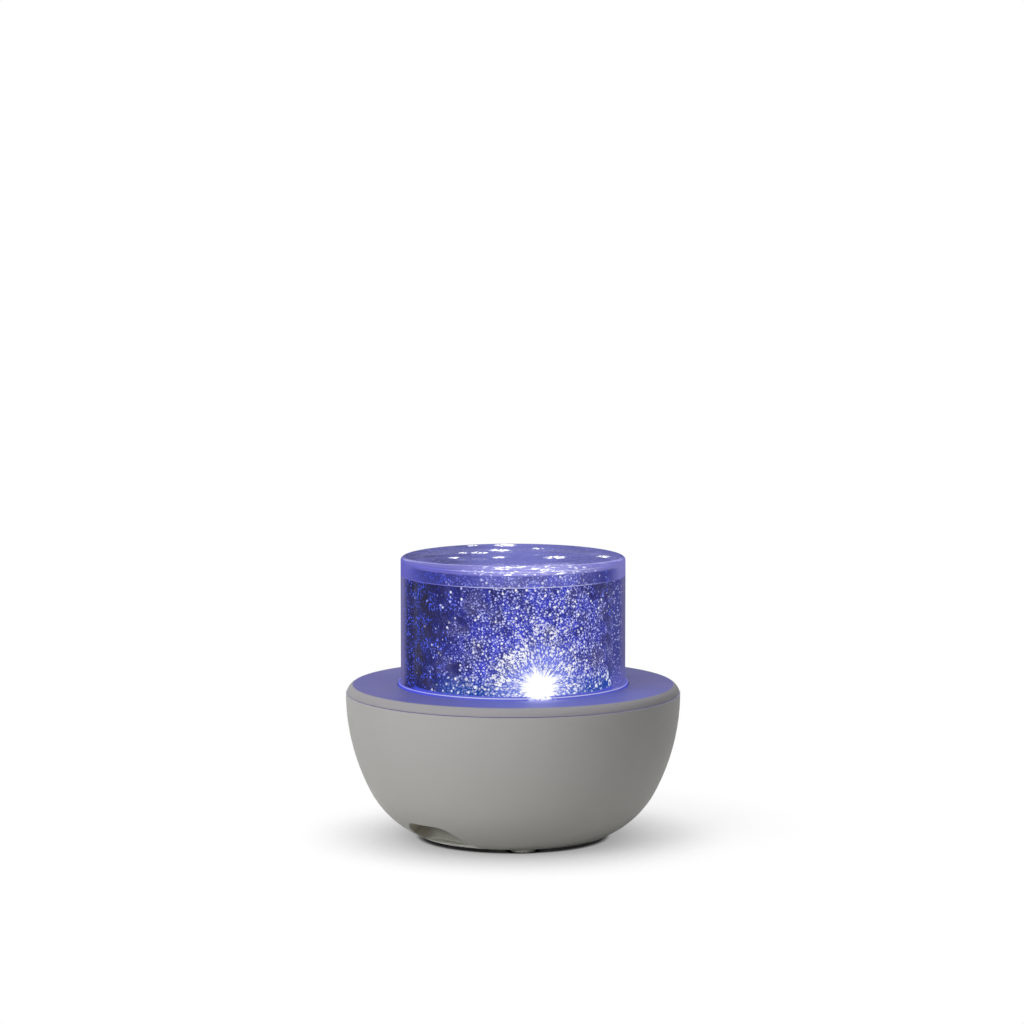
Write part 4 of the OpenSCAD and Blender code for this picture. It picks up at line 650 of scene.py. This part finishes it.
def lid_acrylic():
    """Clear moulded acrylic of the lid: its rim and top gather the light that the disc sends up, which is
    painted on them.
    """
    material, tree, place = new_material("clear_acrylic_lid")
    height = add(tree, "SeparateXYZ", [place]).outputs["Z"]
    radius = from_axis(tree, place)
    room = in_room(tree)
    room_parts = add(tree, "SeparateXYZ", [room]).outputs
    depth = room_parts["Y"]
    side = add(tree, "MapRange", [room_parts["X"], -cover_radius, cover_radius], **SMOOTH)
    rim_distance = add(tree, "VectorMath", [room, RIM_LIGHT], operation="DISTANCE")
    glance = add(tree, "LayerWeight", {"Blend": 0.5}).outputs["Facing"]
    waves = add(tree, "TexNoise", {"Vector": place, "Scale": lumps(12.0), "Detail": 2.0})
    picture, glow = disc_picture(tree, place)

    # The top shows a painted copy of the lit disc below it, more and more at a glance
    top = add(tree, "MapRange", [height, lid_top - 0.5 * MM, lid_top - 0.15 * MM], **SMOOTH)
    top_veil = overlap(tree, top, add(tree, "MapRange", [glance, 0.0, 0.85, 0.2, 0.93], **SMOOTH))
    outside = add(tree, "MapRange", [radius, cover_radius - 0.6 * MM, cover_radius - 0.3 * MM], **SMOOTH)
    wall_veil = overlap(tree, outside, add(tree, "MapRange", [glance, 0.30, 0.74, 0.34, 0.92], **SMOOTH))
    in_slab = add(tree, "MapRange", [height, slab_bottom - 0.3 * MM, slab_bottom + 0.3 * MM], **SMOOTH)
    rim_veil = overlap(tree, outside, in_slab, 0.85)

    # Painted glints: light caught in the rim in front, broken into short bright lines
    flattened = add(tree, "Mapping", {"Vector": room, "Scale": (0.45, 0.5, 1.6)})
    lines = add(tree, "TexNoise", {"Vector": flattened, "Scale": lumps(0.8), "Detail": 2.0})
    outer = add(tree, "MapRange", [radius, cover_radius - 18 * MM, cover_radius - 10 * MM], **SMOOTH)
    caught = overlap(tree, add(tree, "MapRange", [rim_distance, 32 * MM, 6 * MM], **SMOOTH), in_slab, outer)
    bunches = add(tree, "TexNoise", {"Vector": room, "Scale": lumps(6.0), "Detail": 1.0})
    gathered = overlap(tree, caught, add(tree, "MapRange", [bunches, 0.42, 0.60, 0.35, 1.0], **SMOOTH))
    lifted = add(tree, "Math", [gathered, 0.22, lines], operation="MULTIPLY_ADD")
    glints = overlap(tree, add(tree, "MapRange", [lifted, 0.62, 0.86], **SMOOTH),
                     add(tree, "MapRange", [caught, 0.02, 0.3], **SMOOTH))

    # Painted highlights: thin bright lines along its edges, strongest in front
    front = add(tree, "MapRange", [depth, 10 * MM, -38 * MM, 0.3, 1.0], **SMOOTH)
    bottom_line = add(tree, "MapRange", [height, joint_height + 0.4 * MM, joint_height + 0.2 * MM], **SMOOTH)
    top_line = band(tree, height, lid_top - 0.8 * MM, 0.08 * MM, 0.12 * MM)
    edge = overlap(tree, largest(tree, bottom_line, top_line), outside, front)

    # Painted light on the top in front: a curved bright line, with a paler plate of painted light in front of
    # it
    oval_place = add(tree, "VectorMath", [room, (1.0, 1 / 0.72, 1.0)], operation="MULTIPLY")
    oval = from_axis(tree, oval_place)
    facing = overlap(tree, add(tree, "MapRange", [depth, 0.0, -12 * MM], **SMOOTH), top)
    plate = add(tree, "MapRange", [oval, cover_radius - 1.5 * MM, cover_radius + 0.5 * MM], **SMOOTH)
    painted_curve_line = band(tree, oval, cover_radius, 0.5 * MM, 1.3 * MM)
    top_colour = layered(tree, picture, [
        (overlap(tree, plate, facing, 0.75), linear("#7F7CD2")),
        (overlap(tree, painted_curve_line, facing, 0.7), linear("#B4B2F6")),
    ])

    # Painted light on its wall: low down it shows more of the film's blue, palest near the rim's light, and
    # at the slab's height it is paler, most of all on the right
    skirt_colour = layered(tree, linear("#585DC4"), [
        (side, linear("#4A4EB4")),
        (add(tree, "MapRange", [rim_distance, 30 * MM, 10 * MM], **SMOOTH), linear("#8E8FE2")),
    ])
    below_slab = overlap(tree, add(tree, "MapRange", [glance, 0.74, 0.40], **SMOOTH),
                         add(tree, "MapRange", [height, slab_bottom, slab_bottom - 0.4 * MM], **SMOOTH))
    by_lamp = add(tree, "MapRange", [rim_distance, 36 * MM, 14 * MM], **SMOOTH)
    edge_colour = add(tree, "Mix", [by_lamp, linear("#7A78E2"), linear("#E2E3FF")], **COLOURS)
    colour = layered(tree, linear("#6462BE"), [
        (side, linear("#8A88D6")),
        (below_slab, skirt_colour),
        (top, top_colour),
        (overlap(tree, edge, 0.8), edge_colour),
        (overlap(tree, caught, 0.6), linear("#B6B4F6")),
        (glints, WHITE),
    ])
    veil = largest(tree, top_veil, wall_veil, rim_veil, overlap(tree, edge, 0.85),
                   overlap(tree, glints, 0.95), 0.03)
    shine = largest(tree, glints, overlap(tree, glow, top))
    clear_wall(tree, colour, veil, overlap(tree, shine, 1.2), waves)
    return material


# ---------- the lamps ----------

def lamp_lens():
    """Clear epoxy over a chip: the lit lamp shines white, the others stay dull."""
    material, tree, place = new_material("lamp_epoxy")
    distance = add(tree, "VectorMath", [place, LIT_LAMP], operation="DISTANCE")
    lit = add(tree, "Math", [distance, 4 * MM], operation="LESS_THAN")
    cloud = add(tree, "TexNoise", {"Vector": place, "Scale": lumps(0.8), "Detail": 3.0})
    shader = add(tree, "BsdfPrincipled", {
        "Base Color": add(tree, "Mix", [cloud, linear("#D8DAE6"), linear("#ECEEF8")], **COLOURS),
        "Roughness": add(tree, "MapRange", [cloud, 0.3, 0.7, 0.12, 0.2], **SMOOTH),
        "IOR": 1.53,
        "Emission Color": linear("#E6E9FF"),
        "Emission Strength": overlap(tree, lit, 10.0),
    })
    add(tree, "OutputMaterial", {"Surface": shader})
    return material


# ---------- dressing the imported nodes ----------

# Edges that turn by more than this stay sharp
SHARP_ANGLE = math.radians(28)


def dress(material, *nodes):
    """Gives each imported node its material, and smooths what is round on it."""
    for name in nodes:
        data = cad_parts[name].data
        data.materials.clear()
        data.materials.append(material)
        for polygon in data.polygons:
            polygon.use_smooth = True
        data.set_sharp_from_angle(angle=SHARP_ANGLE)


def dress_outside():
    """The pieces that show from outside, and what the lamp lights up."""
    dress(bowl_abs(), "bowl_shell")
    dress(deck_abs(), "top_cover")
    dress(rubber(), "rubber_feet")
    dress(film_roll_print(), "film_roll")
    dress(film_disc_print(), "film_disc")
    dress(cover_acrylic(), "clear_cover")
    dress(lid_acrylic(), "clear_lid")
    dress(lamp_lens(), "led_emitters")
    dress(turntable_abs(), "turntable")
    # Moulded ABS under the blue light: satin lilac caps
    dress(plastic("button_abs", "#8F8DB0", 0.42, grain_mm=0.4),
          "power_button", "colour_button", "spin_button")


def dress_inside():
    """The pieces of the works, which show only with the bowl open."""
    # Plain ABS off the tool: warm white and softly shining
    dress(plastic("white_abs_moulded", "#DAD9D4", 0.5), "chassis_plate", "lamp_post")
    # Acetal: creamy, smoother and glossier than the ABS
    dress(plastic("acetal_moulded", "#E6E1D2", 0.38, shade=0.95), "thrust_washer", "drive_pinion")
    # Nylon dyed black: dull, and dark grey where it catches light
    dress(plastic("plunger_nylon", "#2C2C2B", 0.5), "power_plunger", "colour_plunger", "spin_plunger")
    dress(plastic("black_nylon", "#333335", 0.5), "switch_bodies", "battery_holder")
    # Nylon left in its own colour: ivory
    dress(plastic("plug_nylon", "#E8E4D6", 0.45), "wire_plugs")
    # Epoxy round the chips: charcoal, with a very fine grain
    dress(plastic("chip_epoxy", "#2A2A2C", 0.45, grain_mm=0.2), "board_parts")
    # Solder mask flowed over the boards: glossy and nearly smooth
    dress(plastic("white_solder_mask", "#EDEDEA", 0.3, grain_mm=1.5, depth_mm=0.004, shade=0.97),
          "led_board")
    dress(plastic("green_solder_mask", "#1F5A38", 0.3, grain_mm=1.5, depth_mm=0.004, shade=0.8),
          "main_board", "button_board")
    # Shrunk PVC sleeve: glossy blue with broad shallow ripples
    dress(plastic("cell_sleeve", "#2F62A6", 0.3, grain_mm=3.0), "battery_cell")
    # Drawn PVC round the leads: half matt
    dress(plastic("grey_pvc", "#C9C9C6", 0.5, grain_mm=0.8), "lamp_lead", "button_lead")
    dress(plastic("red_pvc", "#B53A30", 0.45, grain_mm=0.8), "motor_lead", "battery_lead")
    # Zinc plate: grey and softly bright
    dress(metal("zinc_plated_steel", "#BFC3C8", 0.32, streak_mm=0.2, long_mm=2.0),
          "case_screws", "chassis_screws", "motor_screws", "lamp_screws", "board_screws", "button_screws")
    # Drawn steel of the can: long faint draw lines
    dress(metal("motor_can_steel", "#B4B8BC", 0.34, streak_mm=0.4, long_mm=8.0), "gear_motor")
    # Ground steel: the finest lines and the sharpest shine
    dress(metal("ground_steel", "#C4C6C8", 0.22, streak_mm=0.15, long_mm=3.0), "motor_shaft")
    # Tin plate on pressed steel: pale and bright
    dress(metal("tinned_steel", "#C6C8CA", 0.28, streak_mm=0.3, long_mm=3.0), "usb_socket")
    # Nickel over brass: bright with a faint yellow cast
    dress(metal("nickelled_brass", "#CFC9AE", 0.28, streak_mm=0.3, long_mm=3.0), "battery_contacts")


# ---------- marks on the buttons ----------

MARK_RISE = 0.12 * MM
MARK_SINK = 0.1 * MM
MARK_LINE = 0.55 * MM
# About the turn, in degrees, of one straight piece of an arc
ARC_STEP = 8


def ring_stretch(mesh, centre, radius, start, end, low, high):
    """A flat arc of MARK_LINE's width round centre, from start to end in degrees."""
    steps = (end - start) // ARC_STEP
    rows = []
    for i in range(steps + 1):
        angle = math.radians(start + (end - start) * i / steps)
        ray = Vector((math.cos(angle), math.sin(angle), 0.0))
        row = []
        for side, z in ((-0.5, low), (0.5, low), (0.5, high), (-0.5, high)):
            point = centre + ray * (radius + side * MARK_LINE)
            row.append(mesh.verts.new((point.x, point.y, z)))
        rows.append(row)
    for first, second in zip(rows, rows[1:]):
        for k in range(4):
            mesh.faces.new((first[k], first[(k + 1) % 4], second[(k + 1) % 4], second[k]))
    mesh.faces.new(reversed(rows[0]))
    mesh.faces.new(rows[-1])


def slab(mesh, corners, low, high):
    """A flat slab over the corners."""
    below = [mesh.verts.new((c.x, c.y, low)) for c in corners]
    above = [mesh.verts.new((c.x, c.y, high)) for c in corners]
    count = len(corners)
    mesh.faces.new(reversed(below))
    mesh.faces.new(above)
    for k in range(count):
        n = (k + 1) % count
        mesh.faces.new((below[k], below[n], above[n], above[k]))


def power_sign(mesh, centre, low, high):
    """A broken ring with a bar in its gap."""
    ring_stretch(mesh, centre, 1.9 * MM, 125, 415, low, high)
    half = MARK_LINE / 2
    bar_start = 0.3 * MM
    bar_end = 2.5 * MM
    corners = [(-half, bar_start), (half, bar_start), (half, bar_end), (-half, bar_end)]
    slab(mesh, [centre + Vector((x, y, 0.0)) for x, y in corners], low, high)


def colour_sign(mesh, centre, low, high):
    """Three small rings in a triangle."""
    for degrees in (90, 210, 330):
        angle = math.radians(degrees)
        around = centre + 1.35 * MM * Vector((math.cos(angle), math.sin(angle), 0.0))
        ring_stretch(mesh, around, 0.75 * MM, 0, 360, low, high)


def spin_sign(mesh, centre, low, high):
    """Three quarters of a ring that ends in an arrowhead."""
    radius = 1.8 * MM
    start = -60
    ring_stretch(mesh, centre, radius, start, 200, low, high)
    angle = math.radians(start)
    outward = Vector((math.cos(angle), math.sin(angle), 0.0))
    onward = Vector((math.sin(angle), -math.cos(angle), 0.0))
    tip = centre + radius * outward
    size = 0.95 * MM
    slab(mesh, [tip + size * outward, tip - size * outward, tip + 1.3 * size * onward], low, high)


def button_mark(button, draw, paint):
    """A raised mark on top of a button's cap. draw fills the mesh from the cap's centre and heights."""
    low_corner, high_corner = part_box(button)
    centre = (low_corner + high_corner) / 2
    top = high_corner.z
    mesh = bmesh.new()
    draw(mesh, Vector((centre.x, centre.y, 0.0)), top - MARK_SINK, top + MARK_RISE)
    bmesh.ops.recalc_face_normals(mesh, faces=mesh.faces)
    data = bpy.data.meshes.new(button + "_mark")
    mesh.to_mesh(data)
    mesh.free()
    piece = bpy.data.objects.new(button + "_mark", data)
    bpy.context.scene.collection.objects.link(piece)
    data.materials.append(paint)
    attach(piece, button)


# ---------- studio ----------

# A long lens in front of the part, a little above it, that looks slightly down
LENS = 140.625
SENSOR = 36.0
CAMERA_PLACE = (-0.38 * MM, -1.4209, 0.2733)
CAMERA_TILT = math.radians(6.266)

# The lights look at the middle of the part
LIT_MIDDLE = Vector((0.0, 0.0, 50 * MM))

# Half of the floor's side
FLOOR_HALF = 6.0
# The paper fades to plain white between these distances from the part's axis
PAPER_FADES = 55 * MM
PAPER_ENDS = 120 * MM
# How pale the paper is to the light, and how pale to the eye on top of its own shine
PAPER_LIT = 0.75
PAPER_SEEN = 0.30
PAPER_SHINE = 0.74
# How far the shade under the part spreads, and the dark line where it stands
SHADE_REACH = 44 * MM
CREVICE_REACH = 2.2 * MM


def camera():
    """The camera that the part is seen from."""
    lens = bpy.data.cameras.new("camera")
    lens.lens = LENS
    lens.sensor_width = SENSOR
    seat = bpy.data.objects.new("camera", lens)
    seat.location = CAMERA_PLACE
    seat.rotation_euler = (math.pi / 2 - CAMERA_TILT, 0.0, 0.0)
    bpy.context.scene.collection.objects.link(seat)
    bpy.context.scene.camera = seat


def area_light(name, place, size, power):
    """A soft square light that looks at the middle of the part."""
    light = bpy.data.lights.new(name, "AREA")
    light.size = size
    light.energy = power
    seat = bpy.data.objects.new(name, light)
    seat.location = place
    seat.rotation_euler = (LIT_MIDDLE - Vector(place)).to_track_quat("-Z", "Y").to_euler()
    bpy.context.scene.collection.objects.link(seat)


def white_surroundings(strength):
    """A world that looks white, and lights the part at strength."""
    world = bpy.data.worlds.new("studio")
    world.use_nodes = True
    tree = world.node_tree
    tree.nodes.clear()
    level = add(tree, "MapRange", {"Value": seen_rays(tree), "To Min": strength, "To Max": 1.0})
    light = add(tree, "Background", {"Color": WHITE, "Strength": level})
    add(tree, "OutputWorld", {"Surface": light})
    bpy.context.scene.world = world


def floor_paper():
    """Lit paper that keeps the part's shadow, and plain white further out."""
    material, tree, place = new_material("floor_white")
    seen = seen_rays(tree)
    by_camera = add(tree, "LightPath").outputs["Is Camera Ray"]
    # Under the part the paper is darker still, as soft light hardly gets there
    open_sky = add(tree, "AmbientOcclusion", {"Distance": SHADE_REACH}, samples=8).outputs["AO"]
    crevice = add(tree, "AmbientOcclusion", {"Distance": CREVICE_REACH}, samples=16).outputs["AO"]
    shade = overlap(tree, add(tree, "MapRange", [open_sky, 0.0, 0.88, 0.44, 1.0], **SMOOTH),
                    add(tree, "MapRange", [crevice, 0.3, 0.66], **SMOOTH))
    tone = add(tree, "MapRange", {"Value": by_camera, "To Min": PAPER_LIT,
                                  "To Max": overlap(tree, shade, PAPER_SEEN)})
    paper = add(tree, "BsdfDiffuse", {"Color": tone})
    shine = add(tree, "Emission", {"Color": WHITE, "Strength": overlap(tree, seen, shade, PAPER_SHINE)})
    near_floor = add(tree, "AddShader", [paper, shine])
    far_floor = add(tree, "Emission", {"Color": WHITE, "Strength": 1.0})
    distance = add(tree, "VectorMath", [place], operation="LENGTH")
    far = overlap(tree, add(tree, "MapRange", [distance, PAPER_FADES, PAPER_ENDS], **SMOOTH), seen)
    add(tree, "OutputMaterial", {"Surface": add(tree, "MixShader", [far, near_floor, far_floor])})
    return material


def studio_floor():
    """A wide pale floor at the part's feet."""
    corners = [(-1, -1), (1, -1), (1, 1), (-1, 1)]
    data = bpy.data.meshes.new("floor")
    data.from_pydata([(x * FLOOR_HALF, y * FLOOR_HALF, 0.0) for x, y in corners], [], [(0, 1, 2, 3)])
    data.materials.append(floor_paper())
    piece = bpy.data.objects.new("floor", data)
    bpy.context.scene.collection.objects.link(piece)


camera()
dress_outside()
dress_inside()
# Paint on the raised marks: pale lilac, smooth and even
mark_paint = plastic("mark_paint", "#C9C8E6", 0.4, grain_mm=0.3, depth_mm=0.004, shade=0.97)
button_mark("power_button", power_sign, mark_paint)
button_mark("colour_button", colour_sign, mark_paint)
button_mark("spin_button", spin_sign, mark_paint)
studio_floor()
white_surroundings(strength=0.11)
area_light("key_light", place=(-1.10, -1.29, 1.11), size=1.1, power=29)
area_light("top_light", place=(0.0, 0.1, 1.9), size=1.2, power=15)
bpy.context.scene.view_settings.view_transform = "Standard"
